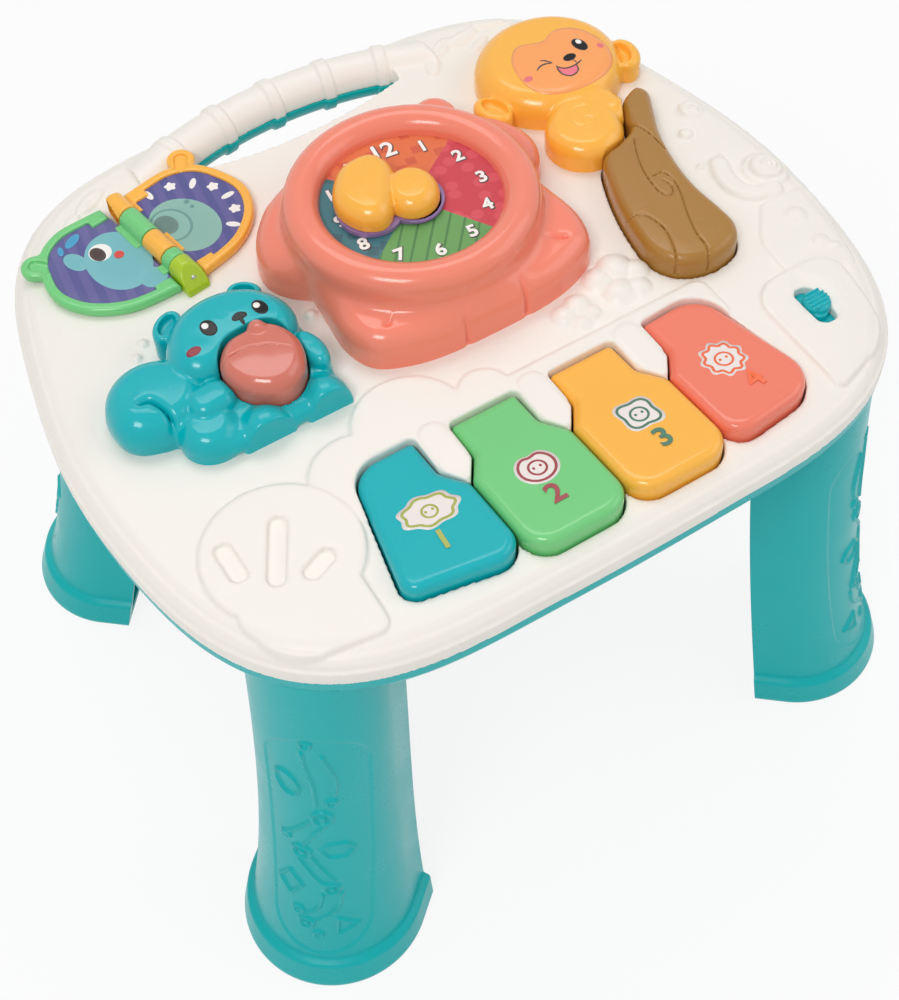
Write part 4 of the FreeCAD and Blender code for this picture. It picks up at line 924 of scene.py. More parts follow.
trunk = {
    "step": 0.5, "top": 13.0, "shoulder": 5.5, "grooveDepth": 0.5,
    "grooves": (
        ((122.2, 27.5), (125.2, 20.7), (127.6, 10.9), (128, -1)),
        ((120.2, 12.8), (115.4, 4), (111.5, -5.7), (109.5, -15.5), (109.2, -22.3), (110.8, -26.5),
         (114, -25.8), (115.8, -21.5), (114.6, -17.6)),
        ((112.5, -12.6), (117.3, -12.8), (118.8, -18.4), (116.9, -27.2), (111.5, -39.9), (107.6, -51.7),
         (106.6, -60), (104, -66)),
        ((89, -27.2), (94.9, -30.2), (97.3, -38), (96.8, -45.8), (93, -56.5), (89.5, -62)),
    ),
}


def trunkField(s):
    q = trunk
    body = softTop(s, polygon(s, trunkOutline), -8, q["top"], q["shoulder"], 0.8)
    for path in q["grooves"]:
        line = stroke(s, curvy(path, 5, False), 0.15)
        body = carve(body, slab(s, line, 2, 40, 0.1) + 0.25 - q["grooveDepth"] * 0.5, 1.1)
    return body


solid("trunkButton", ((82, 150), (-70, 46), (-9, 15)), trunk["step"], trunkField, "trunk", tan,
      ("trunk_button",))
print("squirrel, acorn, monkey and trunk done")


# Clock

clock = {
    "x": 6.5, "y": 21.0, "bodyX": 10.0, "step": 0.65, "window": 41.5, "windowDraft": 0.16, "crest": 37.5,
    "tubeRadius": 8.2, "tubeInset": 1.2,
    "outline": [
        (0, -64), (-27, -63), (-45, -58.5), (-56.5, -51), (-61, -36), (-59, -18), (-55, -4),
        (-64.5, 2), (-70.5, 14), (-67.5, 29), (-59, 41), (-49, 49), (-35, 54), (0, 57.5),
    ],
    "creases": ((15, -46), (15.5, -34), (20, -25), (32, -21), (45, -27)), "armOut": 55.5, "armUp": 17,
    "shoulder": 56.5, "shoulderTop": 28.5, "ears": ((48.5, 71, 11, 11, 24), (4, 73, 14, 12.5, 27)),
    "bodyTop": 20.0, "dialTop": 29.5, "dialThick": 1.8, "dialOver": 1.5, "dialTurn": -9.5, "dialRim": 40,
}


# The clock's housing seen from above, from its left half
def bearOutline():
    q = clock
    left = [(q["bodyX"] + x, q["y"] + y) for x, y in q["outline"]]
    right = [(q["bodyX"] - x, q["y"] + y) for x, y in reversed(q["outline"][1:-1])]
    return curvy(left + right, 4)


def clockField(s):
    q = clock
    body = softTop(s, polygon(s, bearOutline()), -0.5, q["bodyTop"], 10, 1.0)
    for side in (-1, 1):
        crease = stroke(s, curvy([(q["bodyX"] + side * x, y) for x, y in q["creases"]], 5, False), 0.3)
        body = carve(body, slab(s, crease, 2, 40, 0.2) + 0.2, 3.4)
    for side in (-1, 1):
        body = join(body, ball(s, q["bodyX"] + side * q["armOut"], q["y"] + q["armUp"], 3, 15, 17, 17), 4)
    fromCentre = np.hypot(s.x - q["x"], s.y - q["y"])
    body = join(body, slab(s, fromCentre - q["shoulder"], -0.5, q["shoulderTop"], 9), 9)
    for x, y, a, b, top in q["ears"]:
        body = join(body, softTop(s, oval(s, x, y, a, b), -0.5, top, 8, 0.6), 2.0)
    ringRadius = q["window"] + q["tubeRadius"] - q["tubeInset"]
    tube = np.hypot(fromCentre - ringRadius, s.z - (q["crest"] - q["tubeRadius"]))
    body = join(body, tube - q["tubeRadius"], 5)
    wall = q["window"] - q["windowDraft"] * (q["crest"] - s.z)
    return np.maximum(np.maximum(body, wall - fromCentre), -s.z)


solid("clockHousing", ((-63, 83), (-45, 88), (-1, 39)), clock["step"], clockField, "base", coral,
      ("clock_housing",))


# One coloured part of the printed dial, as a thin disc sector
def sector(name, fromAngle, toAngle, material):
    q = clock
    count = q["dialRim"]
    radius = q["window"] + q["dialOver"]
    rim = [(q["x"] + radius * math.cos(math.radians(a)), q["y"] + radius * math.sin(math.radians(a)))
           for a in np.linspace(fromAngle, toAngle, count)]
    levels = (q["dialTop"], q["dialTop"] - q["dialThick"])
    verts = [(x, y, level) for level in levels for x, y in [(q["x"], q["y"])] + rim]
    n = count + 1
    faces = [(0, i, i + 1) for i in range(1, count)] + [(n, n + i + 1, n + i) for i in range(1, count)]
    faces += [(i, n + i, n + i + 1, i + 1) for i in range(1, count)]
    faces += [(0, n, n + 1, 1), (count, n + count, n, 0)]
    return dress(newMesh(name, verts, faces, False), "base", material, ("clock_dial",))


# Plain built-in lettering as a thin raised mesh, centred on its place and laid on a field's surface
def lettering(name, text, place, size, turn, bold, material, body, field=None):
    curve = bpy.data.curves.new(name + "Text", "FONT")
    curve.body = text
    curve.size = size * mm
    curve.offset = bold * mm
    curve.extrude = 0.09 * mm
    curve.align_x, curve.align_y = "CENTER", "CENTER"
    curve.resolution_u = 6
    source = placed(name + "Text", curve)
    bpy.context.view_layer.update()
    mesh = bpy.data.meshes.new_from_object(source.evaluated_get(bpy.context.evaluated_depsgraph_get()))
    xs, ys = [v.co.x for v in mesh.vertices], [v.co.y for v in mesh.vertices]
    middle = Vector(((min(xs) + max(xs)) / 2, (min(ys) + max(ys)) / 2, 0))
    for v in mesh.vertices:
        p = v.co - middle
        v.co = Vector((*spun(place[0] * mm, place[1] * mm, p.x, p.y, math.radians(turn)),
                       (deckHeight + place[2]) * mm + p.z))
    if field:
        xs, ys = [v.co.x * 1000 for v in mesh.vertices], [v.co.y * 1000 for v in mesh.vertices]
        for v, height in zip(mesh.vertices, heightsOf(field, xs, ys)):
            v.co.z += float(height) * mm
    bpy.data.objects.remove(source)
    bpy.data.curves.remove(curve)
    mesh.validate()
    return dress(placed(name, mesh), body, material)


for name, low, high, finish in (("dialTop", 34, 128, dialOrange), ("dialLeft", 128, 217, dialBlue),
                                ("dialFoot", 217, 301, dialGreen), ("dialRight", -59, 34, dialRed)):
    sector(name, low, high, finish)


numerals = {"radius": 33.2, "size": 9.4, "twelveSize": 12.5, "turn": clock["dialTurn"] + 2, "outline": 0.62,
            "weight": 0.28, "edgeShift": 0.25, "edgeLift": 0.06, "lift": 0.2}
for hour in range(1, 13):
    q = numerals
    angle = math.radians(90 + clock["dialTurn"] - 30 * hour)
    x, y = clock["x"] + q["radius"] * math.cos(angle), clock["y"] + q["radius"] * math.sin(angle)
    size = q["twelveSize"] if hour == 12 else q["size"]
    behind = (x + q["edgeShift"], y - q["edgeShift"], clock["dialTop"] + q["edgeLift"])
    lettering("hourEdge_%d" % hour, str(hour), behind, size, q["turn"], q["outline"], inkBrown, "base")
    lettering("hour_%d" % hour, str(hour), (x, y, clock["dialTop"] + q["lift"]), size, q["turn"], q["weight"],
              whitePaint, "base")

spinner = {
    "step": 0.45, "plateLow": 30.1, "plateTop": 32.1, "handTop": 43.2, "nearLower": 2.0, "plateGrow": 0.4,
    "stem": 6.0,
    "near": (6.0, 19.3, 11.7, 13.0, -20),
    "far": [(-15.1, 9.5), (-21.2, 12.8), (-25, 19.3), (-26.4, 26.9), (-24.5, 34.4), (-19.3, 41.9),
            (-12.8, 46.6), (-4.3, 47.6), (1.3, 45.8), (4.8, 40.4), (4.9, 33.4), (1.3, 25), (-5.3, 15.6), (-10, 10.9)],
}


def spinnerField(s):
    q = spinner
    foot = q["plateTop"] - 0.1
    near = softTop(s, oval(s, *q["near"]), foot, q["handTop"] - q["nearLower"], 7.5, 0.9)
    far = softTop(s, polygon(s, curvy(q["far"], 5)), foot, q["handTop"], 8.5, 1.2)
    return np.maximum(join(near, far, 0.8) - 0.5, foot - s.z)


def spinnerPlateField(s):
    q = spinner
    x, y, a, b, turn = q["near"]
    far = polygon(s, curvy(q["far"], 5)) - q["plateGrow"]
    both = np.minimum(oval(s, x + 0.6, y - 1.2, a + 1.0, b + 1.0, turn), far)
    plate = slab(s, both, q["plateLow"], q["plateTop"], 0.6)
    stem = circle(s, clock["x"], clock["y"], q["stem"])
    return np.minimum(plate, slab(s, stem, clock["dialTop"] + 0.15, q["plateTop"] - 0.3, 0.2))


solid("spinnerHand", ((-30, 20), (3, 51), (31, 45)), spinner["step"], spinnerField, "spinner", orange,
      ("spinner_hand",))
solid("spinnerPlate", ((-30, 21), (2, 51), (29, 33)), spinner["step"], spinnerPlateField, "spinner", purple,
      ())
print("clock done")


# Flip book, in its own frame: u to the right of the hinge, v along it

book = {
    "x": -92.0, "y": 84.0, "turn": 8.5, "hingeRise": 6.6, "knuckle": 5.35, "pin": 1.55, "gap": 0.35,
    "knuckleEnds": (33.0, 20.0, 2.0, -13.0, -19.5), "floor": 1.2, "top": 6.2, "border": 4.5, "cardTop": 5.0,
    "cardThick": 1.0,
    "pageEdge": ((6.3, 34), (16, 35), (31, 35), (44, 27.5), (51, 12), (52, 0), (47, -12), (38, -21),
                 (26, -27), (6.3, -30)),
    "backReach": ((-14, 34), (-14, -30)), "corners": ((31, 9.5, 4.5), (-27, 9.5, 4.5)),
    "ears": {1: (40.0, 36.0), -1: (48.0, 24.0)}, "earRadius": 6.6, "dent": (3.0, 4.5, 3.0),
    "clipLength": 15.0, "clipHalf": 5.8, "clipSlope": 1.05, "clipToe": 3.4, "edge": 0.4,
}


# The piece's grid seen in the book's own frame
def inBookFrame(s):
    x, y = turned(s, book["x"], book["y"], book["turn"])
    return SimpleNamespace(x=x, y=y, z=s.z)


def pageLine(side):
    return [(side * x, y) for x, y in book["pageEdge"]]


def knuckleField(s, high, low):
    q = book
    along = np.abs(s.y - (high + low) / 2) - (high - low) / 2 + q["gap"] + q["edge"]
    barrel = np.hypot(s.x, s.z - q["hingeRise"]) - q["knuckle"] + q["edge"]
    return rounded(along, barrel, q["edge"])


# A page's frame; its spans are the stretches of the hinge where it has the knuckles
def pageField(side, spans):
    def field(grid):
        q = book
        s = inBookFrame(grid)
        ex, ey = side * q["ears"][side][0], q["ears"][side][1]
        outline = join(polygon(s, curvy(pageLine(side), 5, False)), circle(s, ex, ey, q["earRadius"]), 2.5)
        frame = slab(s, outline, q["floor"], q["top"], 1.7)
        first, last = ((side * x, y) for x, y in q["backReach"])
        room = polygon(s, curvy([first] + pageLine(side) + [last], 5, False)) + q["border"]
        corners = [block(s, side * 6, y, halfX, halfY) for y, halfX, halfY in q["corners"]]
        room = np.maximum(room, -np.minimum(*corners))
        frame = carve(frame, slab(s, room, q["cardTop"] - 1.2, 20, 0.1), 0.8)
        dx, dy, half = q["dent"]
        dent = stroke(s, [(ex, ey), (ex - side * dx, ey - dy)], half)
        frame = carve(frame, slab(s, dent, q["top"] - 1.6, 20, 0.3), 0.8)
        for high, low in spans:
            frame = join(frame, knuckleField(s, high, low), 0.5)
            web = block(s, side * 4, (high + low) / 2, 4.2, (high - low) / 2 - q["gap"])
            frame = np.minimum(frame, slab(s, web, q["floor"] + 0.6, q["hingeRise"] - 1, 0.4))
        for high, low in zip(q["knuckleEnds"][:-1], q["knuckleEnds"][1:]):
            if (high, low) not in spans:
                room = block(s, 0, (high + low) / 2, q["knuckle"] + 0.6, (high - low) / 2 - q["gap"] * 0.4)
                frame = np.maximum(frame, -slab(s, room, -5, 20, 0.1))
        return np.maximum(frame, q["pin"] - np.hypot(s.x, s.z - q["hingeRise"]))
    return field


ends = book["knuckleEnds"]
solid("pageFrameRight", ((-100, -32), (47, 134), (0, 13)), 0.5, pageField(1, [ends[0:2], ends[2:4]]),
      "yellow_page", orange, ("page_yellow",))
solid("pageFrameLeft", ((-156, -84), (50, 120), (0, 13)), 0.5, pageField(-1, [ends[1:3], ends[3:5]]),
      "green_page", green, ("page_green",))


def clipField(grid):
    q = book
    s = inBookFrame(grid)
    high = ends[-1] - q["gap"]
    low = high - q["clipLength"]
    plan = block(s, 0, (high + low) / 2, q["clipHalf"], q["clipLength"] / 2, 1.0)
    barrel = np.hypot(s.x, s.z - q["hingeRise"]) - q["clipHalf"]
    crown = np.minimum(barrel, slab(s, plan, -5, q["hingeRise"], 0.1))
    body = np.maximum(slab(s, plan, -5, 30, 1.0), crown)
    slope = ((s.z - q["clipToe"]) - (s.y - low) * q["clipSlope"]) * 0.69
    return np.maximum(within(body, slope, 0.8), -s.z)


solid("hingeClip", ((-97, -78), (44, 70), (-1, 14)), 0.45, clipField, "base", lime, ("hinge_clip",))


def inBook(points):
    return [spun(book["x"], book["y"], u, v, math.radians(book["turn"])) for u, v in points]


# Points and faces of an outline filled with rings about its centre
def sheetOf(loop, rings):
    n = len(loop)
    cx, cy = sum(x for x, y in loop) / n, sum(y for x, y in loop) / n
    flat = [(cx, cy)]
    for t in [r / rings for r in range(1, rings + 1)]:
        flat += [(cx + (x - cx) * t, cy + (y - cy) * t) for x, y in loop]
    faces = [(0, 1 + i, 1 + (i + 1) % n) for i in range(n)]
    for r in range(rings - 1):
        a, b = 1 + r * n, 1 + (r + 1) * n
        faces += [(a + i, b + i, b + (i + 1) % n, a + (i + 1) % n) for i in range(n)]
    return flat, faces


# A thin flat print, given by its outline, between two levels
def printPatch(name, points, low, high, material, body, replaces=()):
    n = len(points)
    flat, faces = sheetOf(points, 2)
    verts = [(x, y, high) for x, y in flat] + [(x, y, low) for x, y in flat[1 + n:] + flat[:1]]
    faces += [(1 + n + i, 1 + 2 * n + i, 1 + 2 * n + (i + 1) % n, 1 + n + (i + 1) % n) for i in range(n)]
    faces += [(1 + 3 * n, 1 + 2 * n + (i + 1) % n, 1 + 2 * n + i) for i in range(n)]
    return dress(newMesh(name, verts, faces, False), body, material, replaces)


# The card inside the page's border, with its notched hinge corners
def cardLoop(side):
    edge = curvy(pageLine(side), 5, False)
    middle = (side * 24.0, 3.0)
    loop = []
    for x, y in edge:
        dx, dy = middle[0] - x, middle[1] - y
        away = math.hypot(dx, dy)
        loop.append((x + dx / away * (book["border"] - 0.2), y + dy / away * (book["border"] - 0.2)))
    top = [(side * 6.2, 26.6), (side * 15.3, 26.6), (side * 15.3, 30.5)]
    foot = [(side * 15.3, -25.2), (side * 15.3, -22.7), (side * 6.2, -22.7)]
    inner = [p for p in loop if abs(p[0]) > 15.8]
    return top + inner + foot


# Outline of an oval, plain or with a wavy edge
def disc(x, y, a, b=None, turn=0, count=36, wave=0.0, lobes=0):
    b = a if b is None else b
    made = []
    for i in range(count):
        t = 2 * math.pi * i / count
        grow = 1 + wave * math.cos(lobes * t)
        made.append(spun(x, y, a * grow * math.cos(t), b * grow * math.sin(t), math.radians(turn)))
    return made


cardLow, cardTop = book["cardTop"] - book["cardThick"], book["cardTop"]
printPatch("cardRight", inBook(cardLoop(1)), cardLow, cardTop, cardPurple, "yellow_page", ("page_yellow_card",))
printPatch("cardLeft", inBook(cardLoop(-1)), cardLow, cardTop, cardPurple, "green_page", ("page_green_card",))

cardPrints = {
    "right": (
        ("pond", disc(17, 0, 15, 18.5, 8), cardTeal), ("ringOuter", disc(12, 4, 9.5, 11), cardTealDark),
        ("ringInner", disc(12, 4, 8.2, 9.8), cardTeal), ("stone", disc(10.5, 5.5, 5.2, 6.4), cardTealDeep),
        ("pebbleA", disc(26, 11.5, 1.5, 1.4, 20, 6), cardTealDark),
        ("pebbleB", disc(26.2, 7.4, 1.1, 1.0, 0, 6), cardTealDark),
    ),
    "left": (
        ("hill", disc(-18, 2, 14.5, 19, -8), cardSky), ("hillFoot", disc(-12, -17, 6.2, 6.0), cardSky),
        ("petal", disc(-33, 14, 4.2, 6.6, 12), cardSky), ("drop", disc(-27, 26, 4.8, 2.3, 24), cardBlue),
        ("dropSmall", disc(-34.5, 24, 1.3, 2.9, -22), cardBlue),
        ("sun", disc(-21.5, 11.5, 5.2, 5.4), whitePaint),
        ("sunHeart", disc(-23.0, 11.2, 3.3, 4.6), inkBrown), ("berry", disc(-15.8, 4.8, 2.3), cheekRed),
    ),
}
for page, body in (("right", "yellow_page"), ("left", "green_page")):
    for i, (name, loop, finish) in enumerate(cardPrints[page]):
        level = cardTop + 0.05 + 0.03 * i
        printPatch("print_%s_%s" % (page, name), inBook(loop), cardTop - 0.4, level, finish, body)

beads = {"count": 8, "fromAngle": 112.0, "toAngle": -48.0, "centre": (15, 3), "reach": 27.5, "squash": 0.86}
for i in range(beads["count"]):
    q = beads
    angle = math.radians(q["fromAngle"] + (q["toAngle"] - q["fromAngle"]) * i / (q["count"] - 1))
    u = q["centre"][0] + q["reach"] * math.cos(angle)
    v = q["centre"][1] + q["reach"] * q["squash"] * math.sin(angle)
    bead = disc(u, v, 3.4, 1.5, math.degrees(angle)) if i % 2 else disc(u, v, 2.5, 2.5, 0, 40, 0.16, 5)
    printPatch("print_right_bead_%d" % i, inBook(bead), cardTop - 0.4, cardTop + 0.1, whitePaint, "yellow_page")
print("flip book done")


# Painted shapes that follow a figure's surface

# Heights of a field's upper surface over given places
def heightsOf(field, xs, ys, low=-1.0, high=46.0, count=240):
    s = SimpleNamespace(x=np.array(xs, np.float32)[:, None], y=np.array(ys, np.float32)[:, None],
                        z=np.linspace(low, high, count, dtype=np.float32)[None, :])
    f = np.broadcast_to(field(s), (len(xs), count))
    top = count - 1 - np.argmax((f < 0)[:, ::-1], axis=1)
    above = np.minimum(top + 1, count - 1)
    rows = np.arange(len(xs))
    a, b = f[rows, top], f[rows, above]
    share = np.where(b > a, -a / np.where(b > a, b - a, 1), 0)
    return s.z[0, top] + share * (s.z[0, 1] - s.z[0, 0])


# Points laid on the field's surface, once above it and once sunk under it
def laid(field, flat, lift):
    heights = heightsOf(field, [p[0] for p in flat], [p[1] for p in flat])
    return [(x, y, z + rise) for rise in (lift, -0.3) for (x, y), z in zip(flat, heights)]


# A thin print inside an outline seen from above, laid on the field's surface
def painted(name, loop, field, material, body, lift=0.1, rings=6):
    n = len(loop)
    flat, faces = sheetOf(loop, rings)
    count = len(flat)
    faces += [tuple(count + v for v in reversed(face)) for face in faces]
    edge = 1 + (rings - 1) * n
    faces += [(edge + i, count + edge + i, count + edge + (i + 1) % n, edge + (i + 1) % n) for i in range(n)]
    return dress(newMesh(name, laid(field, flat, lift), faces), body, material)


# A painted pen line along a path seen from above, thinner at its open ends
def paintedLine(name, path, half, field, material, body, lift=0.12, closed=False):
    count = len(path)
    flat = []
    for i, (x, y) in enumerate(path):
        ax, ay = path[i - 1 if closed else max(i - 1, 0)]
        bx, by = path[(i + 1) % count if closed else min(i + 1, count - 1)]
        away = math.hypot(bx - ax, by - ay) + 1e-9
        nx, ny = -(by - ay) / away, (bx - ax) / away
        thin = half if closed else half * min(1.0, 0.45 + 0.55 * min(i, count - 1 - i) / 3)
        flat += [(x + nx * thin, y + ny * thin), (x - nx * thin, y - ny * thin)]
    total = len(flat)
    faces = []
    for i in range(count if closed else count - 1):
        a, b = 2 * i, (2 * i + 2) % total
        faces += [(a, a + 1, b + 1, b), (total + a, total + b, total + b + 1, total + a + 1),
                  (a, b, total + b, total + a), (a + 1, total + a + 1, total + b + 1, b + 1)]
    if not closed:
        last = total - 2
        faces += [(0, total, total + 1, 1), (last, last + 1, total + last + 1, total + last)]
    return dress(newMesh(name, laid(field, flat, lift), faces), body, material)


# Faces: a whole number at a row's end means an area, given its lift and count of rings; otherwise the
# row is a line, given its half width and lift

def facePrints(who, field, *rows):
    for part, shape, finish, first, second in rows:
        if isinstance(second, int):
            painted(who + part, shape, field, finish, "base", first, second)
        else:
            paintedLine(who + part, shape, first, field, finish, "base", second)


for side, x, y, a, b, turn in (("Left", -100.6, 8.3, 3.45, 4.5, 4), ("Right", -77.0, 6.8, 3.1, 4.5, 6)):
    facePrints("squirrel", squirrelField, ("Eye" + side, disc(x, y, a, b, turn), black, 0.1, 6),
               ("Glint" + side, disc(x - 0.8, y + 1.6, 1.5, 1.6), whitePaint, 0.2, 3))
squirrelNose = [(x, y - 0.16 * abs(x + 86.8)) for x, y in disc(-86.8, 7.2, 3.5, 2.0)]
facePrints("squirrel", squirrelField, ("Nose", squirrelNose, black, 0.1, 6),
           ("NoseLine", [(-86.9, 7 - 0.45 * i) for i in range(12)], black, 0.85, 0.12),
           ("Cheek", disc(-111.6, 0.4, 3.4, 2.2, 4), cheekDark, 0.1, 6))

facePatch = curvy([
    (95.4, 67), (97, 59.5), (102.2, 54.3), (110.1, 51), (119.9, 50.2), (130.1, 51.9), (138, 56.1), (142, 61.4),
    (143.2, 67.6), (142.5, 74.9), (139.9, 82.5), (134.5, 88.2), (126.7, 90), (118.9, 86.6), (107.3, 90),
    (100.5, 85.2), (96.7, 77.5),
], 4)
tongue = ((114.6, 66.6), (116.2, 65), (118.9, 63.8), (122.8, 63.8), (121.9, 60.4), (119, 58.8), (116, 59.2),
          (114, 61.8))
smile = ((114.3, 68.2), (116, 65.3), (118.9, 63.9), (122.8, 63.9), (126.9, 65.2))
lip = ((114.3, 67.4), (113.7, 64.8), (114, 61.6), (116.1, 59.1), (119, 58.8), (121.9, 60.5), (123.1, 63.8))
wink = ((105.3, 70.6), (108.2, 72.2), (111.1, 72.2), (114.2, 71))
winkTop = ((110.1, 75.4), (112.1, 74.3), (114.2, 71))
facePrints(
    "monkey", monkeyField, ("Face", facePatch, faceOrange, 0.1, 14),
    ("Wink", curvy(wink, 4, False), inkBrown, 0.42, 0.2),
    ("WinkTop", curvy(winkTop, 4, False), inkBrown, 0.42, 0.2),
    ("Eye", disc(132.3, 74.7, 3.1, 4.8, 8), black, 0.2, 6),
    ("Glint", disc(132.9, 76.6, 1.3, 1.7, 8), whitePaint, 0.3, 3),
    ("Nose", disc(123.2, 69.8, 3.4, 2.3, 4), black, 0.2, 6),
    ("NoseLine", [(123.6 + 0.05 * i, 68 - 0.5 * i) for i in range(8)], inkBrown, 0.3, 0.2),
    ("Tongue", curvy(tongue, 4), pinkPaint, 0.18, 4), ("Smile", curvy(smile, 4, False), inkBrown, 0.42, 0.24),
    ("Lip", curvy(lip, 4, False), inkBrown, 0.36, 0.24),
    ("CheekLeft", disc(98.6, 68.1, 2.3, 1.7, 8), cheekRose, 0.2, 6),
    ("CheekRight", disc(140.3, 68.9, 1.4, 1.8, 8), cheekRose, 0.2, 6))
print("faces done")


# Key stickers: a bordered shape and a plain number on each key

stickers = (
    {"shape": "cloud", "at": (-66.3, -109.9), "number": (-69.4, -125.5), "turn": -6, "ink": stickerLime},
    {"shape": "apple", "at": (-18.9, -115.9), "number": (-20.6, -131.2), "turn": 0, "ink": stickerRed},
    {"shape": "leafy", "at": (31.0, -116.2), "number": (31.3, -132.2), "turn": 0, "ink": stickerGreen},
    {"shape": "sun", "at": (77.9, -111.4), "number": (80.7, -128.0), "turn": 9, "ink": stickerOrange},
)


def stickerLoop(shape, x, y, size, turn):
    if shape == "cloud":
        return disc(x, y, 13.2 * size, 8.8 * size, turn, 72, 0.07, 7)
    if shape == "apple":
        made = []
        for i in range(60):
            t = 2 * math.pi * i / 60
            dip = 1 - 0.2 * math.exp(-((t - math.pi / 2) / 0.35) ** 2)
            made.append((x + 9.6 * size * math.cos(t), y + 9.0 * size * dip * math.sin(t)))
        return made
    if shape == "leafy":
        return disc(x, y, 8.8 * size, 9.8 * size, turn + 45, 72, 0.13, 4)
    return disc(x, y, 9.4 * size, 10.2 * size, turn, 80, 0.09, 9)


for i, sticker in enumerate(stickers):
    number, body, field = i + 1, "key_%d" % (i + 1), keyField(i)
    shape, turn, ink = sticker["shape"], sticker["turn"], sticker["ink"]
    x, y = sticker["at"]
    ring = 9 * (0.36 if shape == "cloud" else 0.42)
    outer, inner = stickerLoop(shape, x, y, 1.0, turn), stickerLoop(shape, x, y, 0.82, turn)
    painted("stickerBack_%d" % number, outer, field, stickerWhite, body, 0.08, 4)
    paintedLine("stickerLine_%d" % number, inner, 0.6, field, ink, body, 0.14, True)
    paintedLine("stickerRing_%d" % number, disc(x, y - 0.4, ring, ring), 0.5, field, ink, body, 0.14, True)
    for dx in (-1.6, 1.6):
        dot = disc(x + dx, y, 0.6, 0.7, 0, 14)
        painted("stickerDot_%d_%d" % (number, dx > 0), dot, field, ink, body, 0.16, 2)
    place = (*sticker["number"], 0.3)
    lettering("keyNumber_%d" % number, str(number), place, 14.0, turn, 0.34, ink, body, field)
print("stickers done")


# Switch

switch = {"x": 131.0, "y": -107.0, "top": 5.5, "stemHalf": (3.6, 6.8), "knob": (1.3, 0.6, 6.0, 6.4), "ribs": 5,
          "ribPitch": 2.1, "bedTop": -1.7, "bed": (4.9, 11.4, 4.8)}


def switchField(s):
    q = switch
    dx, dy, a, b = q["knob"]
    body = softTop(s, oval(s, q["x"] + dx, q["y"] + dy, a, b), 0.3, q["top"] - 0.8, 2.2, 0.4)
    stem = slab(s, block(s, q["x"], q["y"], *q["stemHalf"], 3.4), q["bedTop"] + 0.1, 1.5, 0.3)
    body = join(body, stem, 0.5)
    for i in range(q["ribs"]):
        y = q["y"] + dy + (i - (q["ribs"] - 1) / 2) * q["ribPitch"]
        half = 0.86 * a * math.sqrt(max(0.0, 1 - ((y - q["y"] - dy) / b) ** 2))
        body = join(body, slab(s, block(s, q["x"] + dx, y, half, 0.5, 0.3), 1, q["top"], 0.4), 0.4)
    return body


def switchBedField(s):
    return slab(s, block(s, switch["x"], switch["y"], *switch["bed"]), -4.5, switch["bedTop"], 0.3)


solid("switchCap", ((124, 140), (-116, -98), (-3, 7)), 0.35, switchField, "switch", turquoise, ("switch_cap",))
solid("switchBed", ((124, 138), (-120, -94), (-6, 0)), 0.4, switchBedField, "base", turquoise)


# Handle's lower half, just under the white one

def handleLowerField(s):
    return np.maximum(handleField(s) - 0.08, s.z - deck["handleLevel"] + 0.05)


solid("handleLower", ((-82, 82), (110, 162), (-21, -4)), 0.7, handleLowerField, "base", teal)
print("switch and handle done")


# CAD pieces that are shown as they are

shown = {
    "bottom_shell battery_door": teal, "spinner_base": purple, "lamps": whitePaint, "batteries": cellBlue,
    "battery_door_screw case_screws key_rod battery_contacts hinge_pin spinner_washer": steel,
    "key_board main_board": boardGreen, "speaker speaker_clamp switch_body": darkPlastic,
    "key_dome_1 key_dome_2 key_dome_3 key_dome_4 acorn_dome trunk_dome": rubberGrey,
}
for nodeNames, finish in shown.items():
    for nodeName in nodeNames.split():
        if nodeName in frame["nodes"]:
            frame["nodes"][nodeName].data.materials.clear()
            frame["nodes"][nodeName].data.materials.append(finish)


# Stage, light and camera

stage = {
    "halfSize": 6000, "floorWhite": 0.86, "floorColour": (0.93, 0.93, 0.93, 1), "floorRoughness": 0.9,
    "sky": 0.42, "aim": (0, 0, 0.2),
    "lamps": (("keyLight", (-1.2, -0.9, 2.0), (0.9, 0.6), 19.0),
              ("fillLight", (1.6, -0.8, 1.4), (1.6, 1.2), 7.5),
              ("topLight", (0.2, 0.9, 2.2), (1.6, 0.9), 12.0)),
    "camera": (-0.2563, -0.4676, 0.8281), "target": (-0.0338, -0.0688, 0.194), "roll": -3.502, "lens": 63.34,
    "sensor": 36.0, "farthest": 50,
}


# 1 for rays from the camera, from a reflection or through a clear piece, and 0 for the rest
def seenShare(tree):
    path = newNode(tree.nodes, "LightPath")
    total = path.outputs["Is Camera Ray"]
    for name in ("Is Glossy Ray", "Is Transmission Ray"):
        added = newNode(tree.nodes, "Math", use_clamp=True)
        wire(tree, (total, added.inputs[0]), (path.outputs[name], added.inputs[1]))
        total = added.outputs[0]
    return total


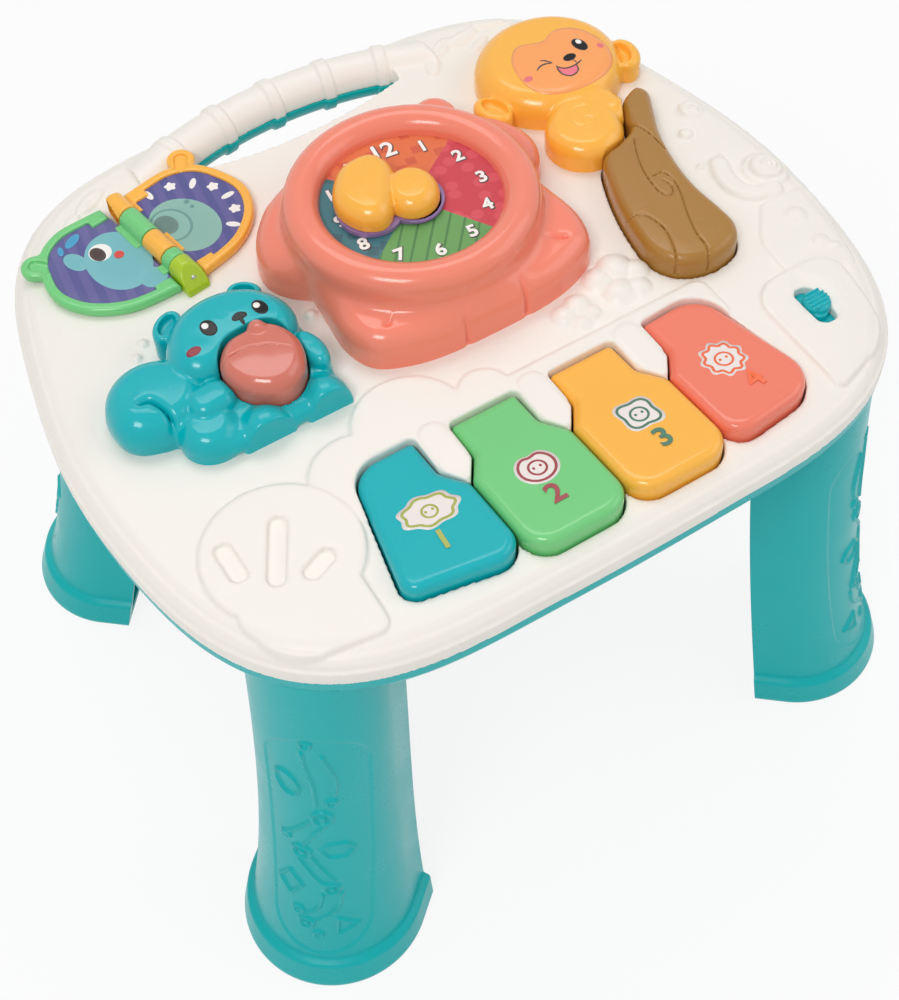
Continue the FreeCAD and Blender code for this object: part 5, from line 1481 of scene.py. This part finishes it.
def makeFloor():
    q = stage
    half = q["halfSize"]
    corners = [(-half, -half), (half, -half), (half, half), (-half, half)]
    floor = newMesh("floorPlane", [(x, y, -deckHeight) for x, y in corners], [(0, 1, 2, 3)])
    made = bpy.data.materials.new("paleFloor")
    made.use_nodes = True
    tree = made.node_tree
    shader, out = tree.nodes["Principled BSDF"], tree.nodes["Material Output"]
    shader.inputs["Base Color"].default_value = q["floorColour"]
    shader.inputs["Roughness"].default_value = q["floorRoughness"]
    seen = newNode(tree.nodes, "Emission", {"Color": (1, 1, 1, 1)})
    share = newNode(tree.nodes, "Math", {1: q["floorWhite"]}, operation="MULTIPLY")
    mix = newNode(tree.nodes, "MixShader")
    wire(tree, (seenShare(tree), share.inputs[0]), (share.outputs[0], mix.inputs["Fac"]),
         (shader.outputs["BSDF"], mix.inputs[1]), (seen.outputs["Emission"], mix.inputs[2]),
         (mix.outputs["Shader"], out.inputs["Surface"]))
    floor.data.materials.append(made)


def makeWorld():
    world = bpy.data.worlds.new("softWhite")
    bpy.context.scene.world = world
    world.use_nodes = True
    tree = world.node_tree
    back = tree.nodes["Background"].inputs
    back["Color"].default_value = (1, 1, 1, 1)
    strength = newNode(tree.nodes, "Math", {1: 1 - stage["sky"], 2: stage["sky"]}, operation="MULTIPLY_ADD")
    wire(tree, (seenShare(tree), strength.inputs[0]), (strength.outputs[0], back["Strength"]))


def areaLamp(name, place, size, power):
    data = bpy.data.lights.new(name, "AREA")
    data.energy = power
    data.shape = "RECTANGLE"
    data.size, data.size_y = size
    lamp = placed(name, data)
    lamp.location = place
    lamp.rotation_euler = (Vector(stage["aim"]) - Vector(place)).to_track_quat("-Z", "Y").to_euler()


def makeCamera():
    q = stage
    data = bpy.data.cameras.new("camera")
    data.lens, data.sensor_width, data.clip_end = q["lens"], q["sensor"], q["farthest"]
    camera = placed("camera", data)
    camera.location = q["camera"]
    turn = (Vector(q["target"]) - Vector(q["camera"])).to_track_quat("-Z", "Y")
    camera.rotation_mode = "QUATERNION"
    camera.rotation_quaternion = turn @ Quaternion((0, 0, 1), math.radians(q["roll"]))
    bpy.context.scene.camera = camera


makeFloor()
makeWorld()
for lamp in stage["lamps"]:
    areaLamp(*lamp)
makeCamera()
bpy.context.scene.view_settings.view_transform = "Standard"
print("stage done")
